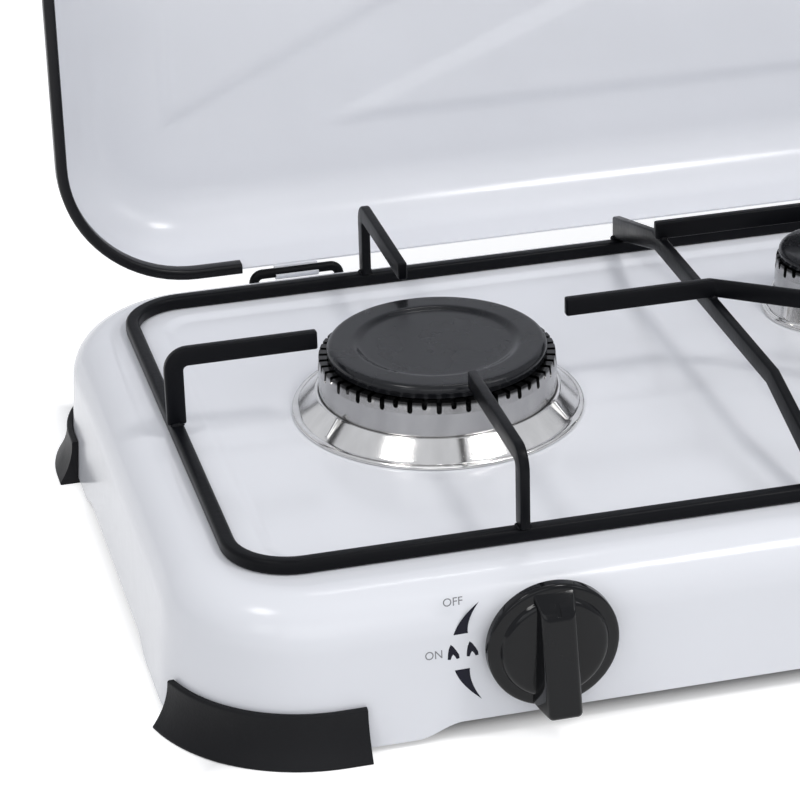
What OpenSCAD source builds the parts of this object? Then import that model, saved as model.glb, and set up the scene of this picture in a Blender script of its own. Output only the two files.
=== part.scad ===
// Three-burner tabletop gas stove with a hinged tray lid, drawn with the lid standing open.
// Millimetres. X runs along the row of burners, +Y points to the hinge side and +Z is up.
// The origin is on the table, under the middle of the stove as it stands with its lid open.

/* [Body] */
// Width of the pressed top at its lower edge
body_w = 671; // [640:1:720]
// Depth of the pressed top at its lower edge
body_d = 326; // [316:1:350]
// Height of the flat rim above the table
rim_z = 63; // [60:0.5:70]
// Thickness of the pressed sheet, body and lid
sheet = 0.8; // [0.6:0.1:1.2]
// Plan radius of the body corners at the lower edge
corner_r = 60; // [57:1:66]
// Radius of the shoulder between the rim and the walls
shoulder_r = 20; // [16:1:22]
// Outward lean of the walls, in degrees
wall_lean = 4; // [2:0.5:6]
// Height of the lower edge above the table beside the feet
skirt_z = 2.5; // [2:0.5:5]
// How much higher the lower edge is between the feet
skirt_lift = 5; // [3:0.5:6]
// Length of the curve that lifts the lower edge
skirt_ramp = 19; // [14:1:24]
// Distance from the lower edge line to the recess round the burners
rim_inset = 45; // [43:0.5:47]
// Depth of the recess round the burners
recess = 1.5; // [1:0.1:2.5]
// Width of the slope into the recess
recess_slope = 4; // [3:0.5:5]

/* [Feet] */
// Height of the corner feet
foot_h = 20.5; // [18:0.5:24]
// How far the feet stand out from the lower edge line at the table
foot_flare = 9; // [7:0.5:11]
// Thickness of the feet at their upper edge
foot_lip = 2.75; // [2:0.25:3.5]
// Length of the feet past the corner curve, along one of its two walls
foot_run = 10; // [8:1:16]
// How far short of the corner curve's other end the feet stop
foot_short = 18.5; // [14:0.5:24]
// Height of the inner tongue of the feet above the lower edge
foot_tongue_h = 9; // [8:0.5:11]
// Thickness of the inner tongue of the feet
foot_tongue_t = 3; // [2.5:0.25:4]
// Shank radius of the foot screws
foot_screw_r = 1.5; // [1.25:0.05:1.75]
// Distance from the feet to the curve that lifts the lower edge
foot_to_ramp = 19; // [14:1:24]

/* [Grate] */
// Width of the grate ring
grate_w = 616; // [605:1:618]
// Depth of the grate ring
grate_d = 262; // [256:1:266]
// Outer plan radius of the grate ring corners
grate_corner_r = 28; // [22:1:34]
// Width of the ring bar
ring_t = 6; // [5:0.5:7]
// Height of the ring bar
ring_h = 6; // [5:0.5:8]
// Thickness of the flat bars
bar_t = 4; // [3:0.5:5]
// Height of the finger, divider and cross bars
bar_h = 8; // [7:0.5:9]
// Height of the pan rests above the top of the ring
rest_h = 34; // [31:0.5:36]
// Outer radius of the bends from the posts into the fingers
post_bend_r = 10; // [9:0.5:12]
// Distance from a large burner's axis to the tips of the bars round it
tip_r = 56; // [52:1:62]
// Distance from a large burner's axis to the tip of the finger from the grate's end
end_tip_r = 51; // [49:1:58]
// Distance from a large burner's axis to the middle of the divider beside it
divider_x = 121; // [115:1:124]
// Height of the divider ends on the ring
divider_end_h = 10; // [8:0.5:11]
// Distance from the burner line to the bends of the dividers
divider_bend_y = 76; // [72:1:84]
// Distance from the burner line to the middle of the rear cross bar
cross_y = 66.5; // [62:0.5:72]
// How far the cross bar passes the dividers
cross_over = 3.5; // [2.5:0.5:6]
// Distance from the burner line to the front point where the slanted arms meet
arms_y = 52; // [46:1:60]
// Distance from the middle burner's axis to the tip of the centre finger
middle_tip_r = 35; // [32:1:40]

/* [Burners] */
// Distance between neighbouring burners along the row
burner_pitch = 193.5; // [188:0.5:198]
// How far the middle burner sits behind the others
middle_back = 44; // [38:1:50]
// Cap radius of the two large burners
large_cap_r = 46; // [43:0.5:48]
// Cap radius of the middle burner
small_cap_r = 24.5; // [23:0.5:27]
// How far the large heads stand out past their caps
large_over = 4; // [3:0.25:5]
// How far the middle head stands out past its cap
small_over = 1.5; // [1:0.25:3]
// How much the heads narrow towards the cap
head_taper = 0.5; // [0.5:0.25:3]
// Height of the narrowing at the top of the heads
head_taper_h = 5; // [4:0.25:7]
// Width of the bezel skirt round the large heads
large_skirt = 11.5; // [8:0.5:13]
// Width of the bezel skirt round the middle head
small_skirt = 5.5; // [4.5:0.5:8]
// Height of the bezels
bezel_h = 9.5; // [8:0.5:12]
// Thickness of the bezel sheet
bezel_t = 1; // [0.8:0.1:1.4]
// Height of the burner heads above the recess
head_h = 24.5; // [22:0.5:27]
// Thickness of the burner head floor
head_floor = 6; // [5:0.5:8]
// Width of the ledge that carries the caps
cap_seat = 4; // [3:0.5:5]
// Thickness of the caps at the rim
cap_h = 5.5; // [4:0.25:7]
// Depth of the dish in the caps
cap_dish = 1.4; // [0.8:0.1:1.8]
// Width of the flat ring round the dish of the caps
cap_ring = 13; // [10:0.5:16]
// Distance between the flame slots round the heads
slot_pitch = 6; // [5.5:0.1:8]
// Width of the flame slots
slot_w = 2.2; // [1.6:0.1:2.6]
// Depth of the long flame slots
slot_deep = 4.8; // [4:0.1:6]
// Depth of the short flame slots
slot_short = 3; // [2:0.1:3.8]
// Radius of the gas throat in the heads
throat_r = 9; // [8:0.25:10]
// Radius of the spigot under the heads
spigot_r = 13; // [12:0.25:14]
// Length of the spigot under the recess sheet
spigot_l = 8; // [6:0.5:9]
// Shank radius of the burner screws
burner_screw_r = 2; // [1.75:0.05:2.25]

/* [Gas parts] */
// Height of the knob, valve and mixing tube axes
axis_z = 38.75; // [36:0.25:40]
// Outer radius of the mixing tubes
tube_r = 10; // [9:0.25:11]
// Wall of the mixing tubes
tube_wall = 1.2; // [1:0.1:1.6]
// Bend radius of the mixing tubes
tube_bend_r = 13; // [12:0.5:13.5]
// Radius of the flange on the mixing tubes
flange_r = 27; // [25:0.5:30]
// Thickness of the flange on the mixing tubes
flange_t = 2; // [1.5:0.25:3]
// Distance from the front edge line to the valve's front face
valve_in = 10; // [9:0.5:13]
// Length of the valve bodies
valve_l = 35; // [32:0.5:38]
// Radius of the valve bodies
valve_r = 9; // [8.5:0.25:10]
// Radius of the valve stems
stem_r = 3; // [2.5:0.25:3.5]
// Length of the jets behind the valves
jet_l = 12; // [10:0.5:14]
// Outer radius of the gas rail
rail_r = 6; // [5.5:0.25:7]
// Wall of the gas rail
rail_wall = 1.2; // [1:0.1:1.6]
// Height of the gas rail axis
rail_z = 18; // [17:0.5:19]
// Distance from the front edge line to the gas rail axis
rail_in = 31; // [27:0.5:34]
// Bend radius of the gas rail
rail_bend_r = 20; // [16:1:26]
// How far the gas inlet stands out from halfway between the right burner and the rear foot
inlet_out = 7.5; // [4:0.5:12]
// Radius of the hose tail
hose_tail_r = 5; // [4.5:0.25:6]
// Length of the hose tail
hose_tail_l = 18; // [14:0.5:18]
// Distance from the middle to the rail brackets
bracket_x = 96; // [86:1:106]

/* [Knobs] */
// Radius of the knob skirts
knob_r = 26; // [24:0.5:28]
// Depth of the knobs from back to front, at the lower end of the grip
knob_depth = 21; // [18:0.5:22]
// Depth of the knobs at the upper end of the grip
grip_high_depth = 11.5; // [10.5:0.25:14]
// Depth of the knob skirt edge before the dome starts
knob_edge = 4; // [3.5:0.25:7]
// Depth of the knob skirt at the middle of the dome
knob_dome = 8; // [7.5:0.25:11]
// Width of the grip at the skirt
grip_base_w = 18; // [16:0.5:20]
// Width of the grip at its front
grip_front_w = 13; // [11:0.5:14]
// Gap between the knob and the front edge line
knob_gap = 1.7; // [1.6:0.1:3]
// Push travel of the knobs
knob_travel = 2; // [1.5:0.1:2.1]

/* [Lid] */
// Width of the lid sheet
lid_w = 650; // [644:1:656]
// Plan radius of the lid corners
lid_corner_r = 59; // [54:1:66]
// Depth of the lid tray
lid_depth = 45; // [43.5:0.5:50]
// Radius between the lid walls and its panel
lid_bend_r = 26; // [20:1:28]
// Distance from the front edge line to the front wall of the closed lid
lid_in = 15.5; // [13:0.5:18]
// Distance from the rear edge line to the hinge axis
hinge_in = 10.5; // [9:0.5:11]
// Height of the hinge axis above the rim
hinge_up = 0.25; // [0.2:0.05:2]
// Distance from the middle to the middle of each hinge
hinge_x = 220.5; // [214:0.5:232]
// Distance between the legs of a hinge staple
staple_w = 40; // [36:1:46]
// Radius of the hinge staple rod
staple_r = 2.25; // [2:0.05:2.5]
// Bend radius of the hinge staple
staple_bend_r = 4; // [3.5:0.25:5]
// Length of the staple legs under the hinge axis
staple_leg = 17; // [14.5:0.5:20]
// Width of the hinge leaves
leaf_w = 20; // [16:0.5:28]
// Length of the hinge leaves along the lid wall
leaf_l = 18; // [12:0.5:19]
// Thickness of the edge trim outside the lid sheet
trim_out = 2.2; // [1.8:0.1:2.6]
// Thickness of the edge trim inside the lid sheet
trim_in = 2; // [1.5:0.1:2.5]
// Height of the edge trim along the lid walls
trim_h = 6; // [5:0.25:8]
// Thickness of the edge trim past the sheet edge
trim_edge = 1.2; // [1:0.1:1.6]

/* [Clearances] */
// Gap between curved faces that only lie beside each other
beside = 0.3; // [0.25:0.01:0.4]
// Radial clearance of turning and sliding fits
running = 0.05; // [0.03:0.01:0.08]
// Clearance of screws and legs in their holes
loose = 0.3; // [0.2:0.05:0.4]
// Gap between the closed lid's trim and the rim
lid_rest = 0.3; // [0.2:0.05:0.5]

/* [Hidden] */
$fn = 64;

// Steps along the arcs of the swept outlines
arc_steps = 8;
// How far swept sections lap under the flat sheets that they join
lap = 4;
// Extra length of cutters past the faces they open
past = 1;

SIDES = ["left", "middle", "right"];
CORNERS = ["rear_right", "rear_left", "front_left", "front_right"];
PAIR = ["left", "right"];

// Heights of the pressed top
pan_z = rim_z - recess;
pan_under = pan_z - sheet;
ring_top = rim_z + ring_h;
rest_z = ring_top + rest_h;
bar_under = rest_z - bar_h;

// Shoulder arc of the body section, measured from the corner axis
shoulder_z = rim_z - shoulder_r;
shoulder_in = corner_r - shoulder_r * cos(wall_lean)
    - tan(wall_lean) * (shoulder_z + shoulder_r * sin(wall_lean) - skirt_z);
pan_r = corner_r - rim_inset - recess_slope;
sheet_across = sheet / cos(wall_lean);

// Burner rows: name, x, y, cap radius, step from the cap out to the head, bezel skirt width
BURNERS = [
    ["left", -burner_pitch, 0, large_cap_r, large_over, large_skirt],
    ["middle", 0, middle_back, small_cap_r, small_over, small_skirt],
    ["right", burner_pitch, 0, large_cap_r, large_over, large_skirt]
];
function burner_x(b) = b[1];
function burner_y(b) = b[2];
function cap_r(b) = b[3];
function head_r(b) = b[3] + b[4];
function head_in(b) = b[3] - cap_seat;
function bezel_r(b) = head_r(b) + b[5];
screw_circle = spigot_r + 6;
screw_head_h = 2;
screw_reach = head_floor - 1;

// Places along the valve axes, front to back
front_y = -body_d / 2;
knob_back = front_y - knob_gap;
knob_front = knob_back - knob_depth;
valve_front = front_y + valve_in;
valve_back = valve_front + valve_l;
valve_lip = 2;
chamber_l = 10;
chamber_r = valve_r - 2.5;
chamber_back = valve_front + valve_lip + chamber_l;
collar_t = 1.5;
washer_t = 1.2;
stem_grip = 9;
knob_hub_r = stem_r + 3.5;
stem_front = knob_back - stem_grip;
stem_back = chamber_back + 6;
core_back = stem_back + knob_travel + 2;
gas_way_r = 2;
jet_hole_r = 0.6;
jet_thread_r = 4;
jet_thread_l = 5;
hex_flat_r = 6;
hex_l = 6;
rail_y = front_y + rail_in;
inlet_x = (burner_pitch + body_w / 2 - corner_r - foot_run) / 2 + inlet_out;
inlet_end = body_d / 2 + 1.5;
jet_in_mouth = 5;
tube_mouth_y = valve_back + jet_l - jet_in_mouth;
mouth_flare = 4;
mouth_l = 10;

// Lid in its closed place, then turned up about the hinge axis
hinge_y = body_d / 2 - hinge_in;
hinge_z = rim_z + hinge_up;
lid_edge_z = rim_z + lid_rest + trim_edge;
leaf_t = 0.9;
curl_in = staple_r + running;
curl_out = curl_in + leaf_t;
lid_front = body_d / 2 - lid_in;
lid_back = hinge_y - curl_out;
lid_d = lid_front + lid_back;
lid_y = (lid_back - lid_front) / 2;
trim_gap_x = hinge_x + staple_w / 2 + 2 * staple_r;

// The burner line lies this far from the middle of the whole open stove
open_back = hinge_y + lid_edge_z - hinge_z + lid_depth;
line_y = -(knob_front + open_back) / 2;

function arc(centre, r, from, to) = [
    for (i = [0:arc_steps])
        let (a = from + (to - from) * i / arc_steps)
        centre + r * [cos(a), sin(a)]
];
// Outer face of the body wall at height z, measured from the corner axis
function wall_at(z) = corner_r - tan(wall_lean) * (z - skirt_z);
// Height of the shoulder's lower face at a distance behind the burner line
function shoulder_under(y) = shoulder_z
    + sqrt(pow(shoulder_r - sheet, 2) - pow(max(0, y - (body_d / 2 - corner_r + shoulder_in)), 2));

module placed() {
    translate([0, line_y, 0]) children();
}

module at_burner(b) {
    placed() translate([burner_x(b), burner_y(b), 0]) children();
}

// Points a piece drawn along +Z towards the back
module backwards(x, y, z) {
    translate([x, y, z]) rotate([-90, 0, 0]) children();
}

module round_rect(w, d, r) {
    square([w - 2 * r, d], center = true);
    square([w, d - 2 * r], center = true);
    for (sx = [-1, 1], sy = [-1, 1])
        translate([sx * (w / 2 - r), sy * (d / 2 - r)])
            circle(r);
}

// Moves a piece drawn for the rear right corner to corner k, counted to the left
module at_corner(w, d, r, k) {
    a = k % 2 == 0 ? w : d;
    b = k % 2 == 0 ? d : w;
    rotate([0, 0, 90 * k]) translate([a / 2 - r, b / 2 - r, 0]) children();
}

// Carries a section round a rectangle with round corners; x is measured from the corner axes
module swept(w, d, r) {
    for (k = [0:3])
        at_corner(w, d, r, k) {
            rotate_extrude(angle = 90) children();
            rotate([90, 0, 0]) linear_extrude((k % 2 == 0 ? d : w) - 2 * r) children();
        }
}

// Quarter bend in the XY plane, from straight back along -Y to straight out along +X
module bend(bend_r, r) {
    rotate([0, 0, -90]) rotate_extrude(angle = 90) translate([bend_r, 0]) circle(r);
}

module shell_section() {
    polygon(concat(
        [[corner_r, skirt_z]],
        arc([shoulder_in, shoulder_z], shoulder_r, wall_lean, 90),
        [
            [corner_r - rim_inset, rim_z],
            [pan_r, pan_z],
            [pan_r - lap, pan_z],
            [pan_r - lap, pan_under],
            [pan_r, pan_under],
            [corner_r - rim_inset, rim_z - sheet]
        ],
        arc([shoulder_in, shoulder_z], shoulder_r - sheet, 90, wall_lean),
        [[corner_r - sheet_across, skirt_z]]
    ));
}

// Outline of the raised lower edge between two feet
module skirt_lift_outline(foot_end) {
    outer = foot_end - foot_to_ramp;
    ramp = [
        for (i = [0:arc_steps])
            [outer - skirt_ramp * i / arc_steps, skirt_z + skirt_lift * (1 - cos(180 * i / arc_steps)) / 2]
    ];
    polygon(concat(
        [[outer, skirt_z - skirt_lift]],
        ramp,
        [for (i = [arc_steps:-1:0]) [-ramp[i][0], ramp[i][1]]],
        [[-outer, skirt_z - skirt_lift]]
    ));
}

module cooktop_shell() color("white") placed() difference() {
    union() {
        swept(body_w, body_d, corner_r) shell_section();
        translate([0, 0, pan_under])
            linear_extrude(sheet)
                round_rect(
                    body_w - 2 * (rim_inset + recess_slope) - lap,
                    body_d - 2 * (rim_inset + recess_slope) - lap,
                    pan_r - lap / 2
                );
    }
    rotate([90, 0, 0])
        linear_extrude(2 * body_d, center = true)
            skirt_lift_outline(body_w / 2 - corner_r - foot_run);
    rotate([90, 0, 90])
        linear_extrude(2 * body_w, center = true)
            skirt_lift_outline(body_d / 2 - corner_r - foot_run);
    for (b = BURNERS) {
        translate([burner_x(b), burner_y(b), pan_under - past])
            cylinder(h = sheet + 2 * past, r = spigot_r + loose);
        translate([burner_x(b), burner_y(b), 0])
            burner_screw_places()
                translate([0, 0, pan_under - past])
                    cylinder(h = sheet + 2 * past, r = burner_screw_r + loose);
        backwards(burner_x(b), front_y - past, axis_z)
            cylinder(h = valve_in, r = stem_r + 4);
    }
    backwards(inlet_x, body_d / 2 - shoulder_r, rail_z)
        cylinder(h = shoulder_r + past, r = rail_r + loose);
    for (sx = [-1, 1], leg = [-1, 1])
        translate([sx * hinge_x + leg * staple_w / 2, hinge_y, shoulder_z])
            cylinder(h = shoulder_r + past, r = staple_r + loose);
    for (k = [0:3])
        at_corner(body_w, body_d, corner_r, k)
            foot_screw_place() cylinder(h = 4 * sheet, r = foot_screw_r + loose, center = true);
}

// Feet: one rubber corner piece that grips the lower edge of the body, used four times
module foot_section() {
    top_in = wall_at(foot_h) + beside;
    tongue_z = skirt_z + foot_tongue_h;
    tongue_out = wall_at(tongue_z) - sheet_across - beside;
    slot_in = corner_r - sheet_across - beside;
    toe = corner_r + foot_flare;
    polygon(concat(
        [[wall_at(0) - sheet_across - beside - foot_tongue_t, 0]],
        [
            for (i = [0:arc_steps])
                let (t = i / arc_steps)
                [top_in + foot_lip + (toe - top_in - foot_lip) * pow(1 - t, 2), foot_h * t]
        ],
        [
            [top_in, foot_h],
            [corner_r + beside, skirt_z],
            [slot_in, skirt_z],
            [tongue_out, tongue_z],
            [tongue_out - foot_tongue_t, tongue_z]
        ]
    ));
}

// Puts +Z square out of the rear wall in the middle of a foot's straight run
module foot_screw_place() {
    screw_z = skirt_z + foot_tongue_h / 2;
    translate([-foot_run / 2, wall_at(screw_z), screw_z])
        rotate([wall_lean - 90, 0, 0]) children();
}

foot_screw_tip = 2;
foot_screw_inner = sheet + beside + foot_tongue_t;

module corner_foot(k) color("dimgray") placed() at_corner(body_w, body_d, corner_r, k)
    difference() {
        union() {
            rotate_extrude(angle = 90) foot_section();
            translate([-foot_run, 0, 0])
                rotate([90, 0, 90]) linear_extrude(foot_run) foot_section();
        }
        translate([0, -past, -past]) cube([2 * corner_r, foot_short + past, foot_h + 2 * past]);
        foot_screw_place()
            translate([0, 0, -2 * foot_screw_inner])
                cylinder(h = 2 * foot_screw_inner + foot_screw_tip + running, r = foot_screw_r + running);
    }

module foot_screws() color("silver") placed()
    for (k = [0:3])
        at_corner(body_w, body_d, corner_r, k)
            foot_screw_place() {
                translate([0, 0, -foot_screw_inner - past])
                    cylinder(h = foot_screw_inner + past + foot_screw_tip, r = foot_screw_r);
                translate([0, 0, -foot_screw_inner - screw_head_h])
                    cylinder(h = screw_head_h, r = 2 * foot_screw_r);
            }

// Grate: flat bars on edge, welded to a ring that lies on the rim
module grate_ring() color("black") placed()
    translate([0, 0, rim_z])
        linear_extrude(ring_h)
            difference() {
                round_rect(grate_w, grate_d, grate_corner_r);
                round_rect(grate_w - 2 * ring_t, grate_d - 2 * ring_t, grate_corner_r - ring_t);
            }

// Bent bar from a tip at x = near to a post whose middle stands at x = post
module finger(near, post) {
    outer = post + bar_h / 2;
    inner_r = post_bend_r - bar_h;
    bend_at = [outer - post_bend_r, rest_z - post_bend_r];
    rotate([90, 0, 0])
        linear_extrude(bar_t, center = true)
            polygon(concat(
                [[near, rest_z]],
                arc(bend_at, post_bend_r, 90, 0),
                [[outer, ring_top], [outer - bar_h, ring_top]],
                arc(bend_at, inner_r, 0, 90),
                [[near, bar_under]]
            ));
}

post_x = grate_w / 2 - burner_pitch - ring_t / 2;
post_y = grate_d / 2 - ring_t / 2;

module grate_fingers(side) color("black") placed()
    translate([side * burner_pitch, 0, 0]) {
        rotate([0, 0, side > 0 ? 0 : 180]) finger(end_tip_r, post_x);
        for (turn = [90, 270]) rotate([0, 0, turn]) finger(tip_r, post_y);
    }

// Arch from the front bar of the ring to its rear bar
module grate_divider(side) color("black") placed() {
    end_y = grate_d / 2 + bar_t / 2;
    translate([side * (burner_pitch - divider_x), 0, 0])
        rotate([90, 0, 90])
            linear_extrude(bar_t, center = true)
                polygon([
                    [end_y, ring_top],
                    [end_y, ring_top + divider_end_h],
                    [divider_bend_y, bar_under],
                    [-divider_bend_y, bar_under],
                    [-end_y, ring_top + divider_end_h],
                    [-end_y, ring_top],
                    [-end_y + bar_t, ring_top],
                    [-divider_bend_y + bar_t, bar_under - bar_h],
                    [divider_bend_y - bar_t, bar_under - bar_h],
                    [end_y - bar_t, ring_top]
                ]);
}

// Bar that runs from a large burner over the divider, then slants to the centre finger
module grate_arm(side) color("black") placed() mirror([side < 0 ? 1 : 0, 0, 0]) {
    bend_x = burner_pitch - divider_x;
    end_x = bar_t / 2;
    half = bar_t / 2;
    slant = atan2(arms_y, bend_x);
    shift = half / cos(slant);
    knee = half * tan(slant / 2);
    drop = (bend_x - end_x) * tan(slant);
    translate([0, 0, bar_under])
        linear_extrude(bar_h)
            polygon([
                [burner_pitch - tip_r, half],
                [bend_x + knee, half],
                [end_x, -drop + shift],
                [end_x, -drop - shift],
                [bend_x - knee, -half],
                [burner_pitch - tip_r, -half]
            ]);
}

module grate_cross_bar() color("black") placed()
    translate([0, cross_y, bar_under + bar_h / 2])
        cube([2 * (burner_pitch - divider_x + cross_over), bar_t, bar_h], center = true);

module grate_centre_finger() color("black") placed()
    rotate([0, 0, 270]) finger(middle_tip_r - middle_back, post_y);

// Burners
module bezel_ribs(b) {
    rib_w = 1.6;
    top_r = head_r(b) + beside + bezel_t;
    run = bezel_r(b) - top_r;
    rise = bezel_h - bezel_t;
    for (i = [0:2])
        rotate([0, 0, 83 + 120 * i])
            translate([top_r, 0, bezel_h])
                rotate([0, atan2(rise, run), 0])
                    translate([bezel_t, -rib_w / 2, -bezel_t / 2])
                        cube([norm([rise, run]) - 2 * bezel_t, rib_w, bezel_t]);
}

module burner_bezel(b) color("lightgray") at_burner(b) translate([0, 0, pan_z]) {
    neck = head_r(b) + beside;
    rotate_extrude()
        polygon([
            [bezel_r(b) - 2 * bezel_t, 0],
            [bezel_r(b), 0],
            [bezel_r(b), bezel_t],
            [neck + bezel_t, bezel_h],
            [neck, bezel_h],
            [neck, bezel_h - 2 * bezel_t]
        ]);
    bezel_ribs(b);
}

module burner_screw_places() {
    for (turn = [0, 180])
        rotate([0, 0, turn]) translate([screw_circle, 0, 0]) children();
}

module burner_head(b) color("gainsboro") at_burner(b) translate([0, 0, pan_z]) difference() {
    slots = 2 * round(PI * head_r(b) / slot_pitch);
    rotate_extrude()
        polygon([
            [throat_r, -sheet - spigot_l],
            [spigot_r, -sheet - spigot_l],
            [spigot_r, 0],
            [head_r(b), 0],
            [head_r(b), head_h - head_taper_h],
            [head_r(b) - head_taper, head_h],
            [head_in(b), head_h],
            [head_in(b), head_floor],
            [throat_r, head_floor]
        ]);
    for (i = [0:slots - 1]) {
        depth = i % 2 == 0 ? slot_short : slot_deep;
        rotate([0, 0, 360 * i / slots])
            translate([head_in(b) - past, -slot_w / 2, head_h - depth])
                cube([head_r(b) - head_in(b) + 2 * past, slot_w, depth + past]);
    }
    burner_screw_places()
        translate([0, 0, -past])
            cylinder(h = screw_reach + past + running, r = burner_screw_r + running);
}

module burner_cap(b) color("black") at_burner(b) translate([0, 0, pan_z + head_h]) {
    skirt_r = head_in(b) - beside;
    skirt_t = 3;
    dish_r = cap_r(b) - cap_ring;
    edge_r = 2.5;
    step = 1.5;
    rotate_extrude()
        polygon(concat(
            [
                [0, cap_h - cap_dish - 2],
                [skirt_r - skirt_t, cap_h - cap_dish - 2],
                [skirt_r - skirt_t, -slot_deep],
                [skirt_r, -slot_deep],
                [skirt_r, 0],
                [cap_r(b), 0]
            ],
            arc([cap_r(b) - edge_r, cap_h - edge_r], edge_r, 0, 90),
            [
                [dish_r + step, cap_h],
                [dish_r, cap_h - cap_dish],
                [0, cap_h - cap_dish]
            ]
        ));
}

// Gas tube from the jet to the underside of a burner
module mixing_tube_form(b, r, socket_r, socket_z, ends) {
    bend_z = axis_z + tube_bend_r;
    bend_y = burner_y(b) - tube_bend_r;
    translate([0, burner_y(b), socket_z])
        cylinder(h = pan_under - socket_z + ends, r = socket_r);
    translate([0, burner_y(b), bend_z])
        cylinder(h = socket_z - bend_z + ends, r = r);
    translate([0, bend_y, bend_z]) rotate([90, 0, 90]) bend(tube_bend_r, r);
    translate([0, bend_y, axis_z])
        rotate([90, 0, 0]) cylinder(h = bend_y - tube_mouth_y, r = r);
    backwards(0, tube_mouth_y - ends, axis_z)
        cylinder(h = mouth_l + ends, r1 = r + mouth_flare, r2 = r);
}

module mixing_tube(b) color("silver") placed() translate([burner_x(b), 0, 0]) difference() {
    socket_z = pan_under - spigot_l - running;
    socket_r = spigot_r + running;
    union() {
        mixing_tube_form(b, tube_r, socket_r + tube_wall, socket_z - tube_wall, 0);
        translate([0, burner_y(b), pan_under - flange_t])
            cylinder(h = flange_t, r = flange_r);
    }
    mixing_tube_form(b, tube_r - tube_wall, socket_r, socket_z, past);
    translate([0, burner_y(b), pan_under - flange_t - past])
        burner_screw_places()
            cylinder(h = flange_t + 2 * past, r = burner_screw_r + loose);
}

module burner_screws() color("silver")
    for (b = BURNERS)
        at_burner(b)
            burner_screw_places() {
                translate([0, 0, pan_under - flange_t - screw_head_h])
                    cylinder(h = screw_head_h, r = 2 * burner_screw_r);
                translate([0, 0, pan_under - flange_t - past])
                    cylinder(h = flange_t + past + sheet + screw_reach, r = burner_screw_r);
            }

module burner_jet(b) color("goldenrod") placed()
    backwards(burner_x(b), valve_back, axis_z)
        difference() {
            union() {
                translate([0, 0, -jet_thread_l])
                    cylinder(h = jet_thread_l + past, r = jet_thread_r);
                cylinder(h = hex_l, r = hex_flat_r, $fn = 6);
                translate([0, 0, hex_l])
                    cylinder(h = jet_l - hex_l, r1 = jet_thread_r, r2 = jet_thread_r / 2);
            }
            translate([0, 0, -jet_thread_l - past])
                cylinder(h = jet_thread_l + jet_l - past, r = gas_way_r);
            cylinder(h = jet_l + past, r = jet_hole_r);
        }

// Valves: a brass body on the rail, with the stem pushed out by a spring
module valve_body(b) color("goldenrod") placed() difference() {
    union() {
        backwards(burner_x(b), valve_front, axis_z)
            cylinder(h = valve_l, r = valve_r);
        translate([burner_x(b), rail_y, rail_z])
            cylinder(h = axis_z - rail_z, r = valve_r - 3);
    }
    translate([burner_x(b), rail_y, rail_z])
        rotate([0, 90, 0])
            cylinder(h = 4 * valve_r, r = rail_r + running, center = true);
    backwards(burner_x(b), valve_front - past, axis_z)
        cylinder(h = core_back - valve_front + past, r = stem_r + running);
    backwards(burner_x(b), valve_front + valve_lip, axis_z)
        cylinder(h = chamber_l, r = chamber_r);
    backwards(burner_x(b), core_back - past, axis_z)
        cylinder(h = valve_back - core_back + 2 * past, r = gas_way_r);
    backwards(burner_x(b), valve_back - jet_thread_l - running, axis_z)
        cylinder(h = jet_thread_l + past, r = jet_thread_r + running);
    translate([burner_x(b), rail_y, rail_z])
        cylinder(h = axis_z - rail_z - stem_r - past, r = gas_way_r);
}

collar_y = valve_front + valve_lip;
washer_y = collar_y + collar_t;
spring_y = washer_y + washer_t;

module valve_spring(b) color("silver") placed()
    backwards(burner_x(b), spring_y, axis_z)
        difference() {
            cylinder(h = chamber_back - spring_y, r = chamber_r - loose);
            translate([0, 0, -past])
                cylinder(h = chamber_l + past, r = chamber_r - loose - 1);
        }

module spring_washer(b) color("silver") placed()
    backwards(burner_x(b), washer_y, axis_z)
        difference() {
            cylinder(h = washer_t, r = chamber_r - loose);
            translate([0, 0, -past])
                cylinder(h = washer_t + 2 * past, r = stem_r + running);
        }

flat_depth = 1;

module stem_outline(r) {
    intersection() {
        circle(r);
        translate([-2 * r, -2 * r]) square([4 * r, 3 * r - flat_depth]);
    }
}

module valve_stem(b) color("silver") placed() {
    backwards(burner_x(b), knob_back, axis_z)
        cylinder(h = stem_back - knob_back, r = stem_r);
    backwards(burner_x(b), stem_front, axis_z)
        linear_extrude(knob_back - stem_front) stem_outline(stem_r);
    backwards(burner_x(b), collar_y, axis_z)
        cylinder(h = collar_t, r = stem_r + 1.5);
}

// Knob: drawn facing the front, with its pointer up
module knob_skirt(r, depth_edge, depth_mid) {
    edge_x = r - 1.5;
    rotate_extrude()
        polygon(concat(
            [[0, 0], [r, 0]],
            [
                for (i = [0:arc_steps])
                    let (a = 90 * i / arc_steps)
                    [edge_x * cos(a), depth_edge + (depth_mid - depth_edge) * sin(a)]
            ]
        ));
}

// Side view of the grip: rounded at its lower end, with a slope down to the rim at its upper end
knob_wall = 2.5;
grip_high = knob_r - 9;
grip_low = 1.5 - knob_r;
grip_round = 1.5;
grip_foot = knob_edge - 2;
slope_end = [knob_r - 1.5, knob_edge + 1.25];

module grip_profile() {
    polygon(concat(
        [[grip_low, 0]],
        [
            for (i = [0:arc_steps])
                let (a = 90 * i / arc_steps)
                [grip_low + grip_round * (1 - cos(a)), grip_foot + (knob_depth - grip_foot) * sin(a)]
        ],
        [[grip_high, grip_high_depth], slope_end, [slope_end[0], 0]]
    ));
}

// Pointer groove in the upper slope of the grip
module pointer_groove() {
    groove_w = 1.6;
    groove_d = 0.6;
    rotate([90, 0, 90])
        linear_extrude(groove_w, center = true)
            polygon([
                [grip_high, grip_high_depth - groove_d],
                slope_end - [0, groove_d],
                [slope_end[0], knob_depth],
                [grip_high, knob_depth]
            ]);
}

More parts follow.
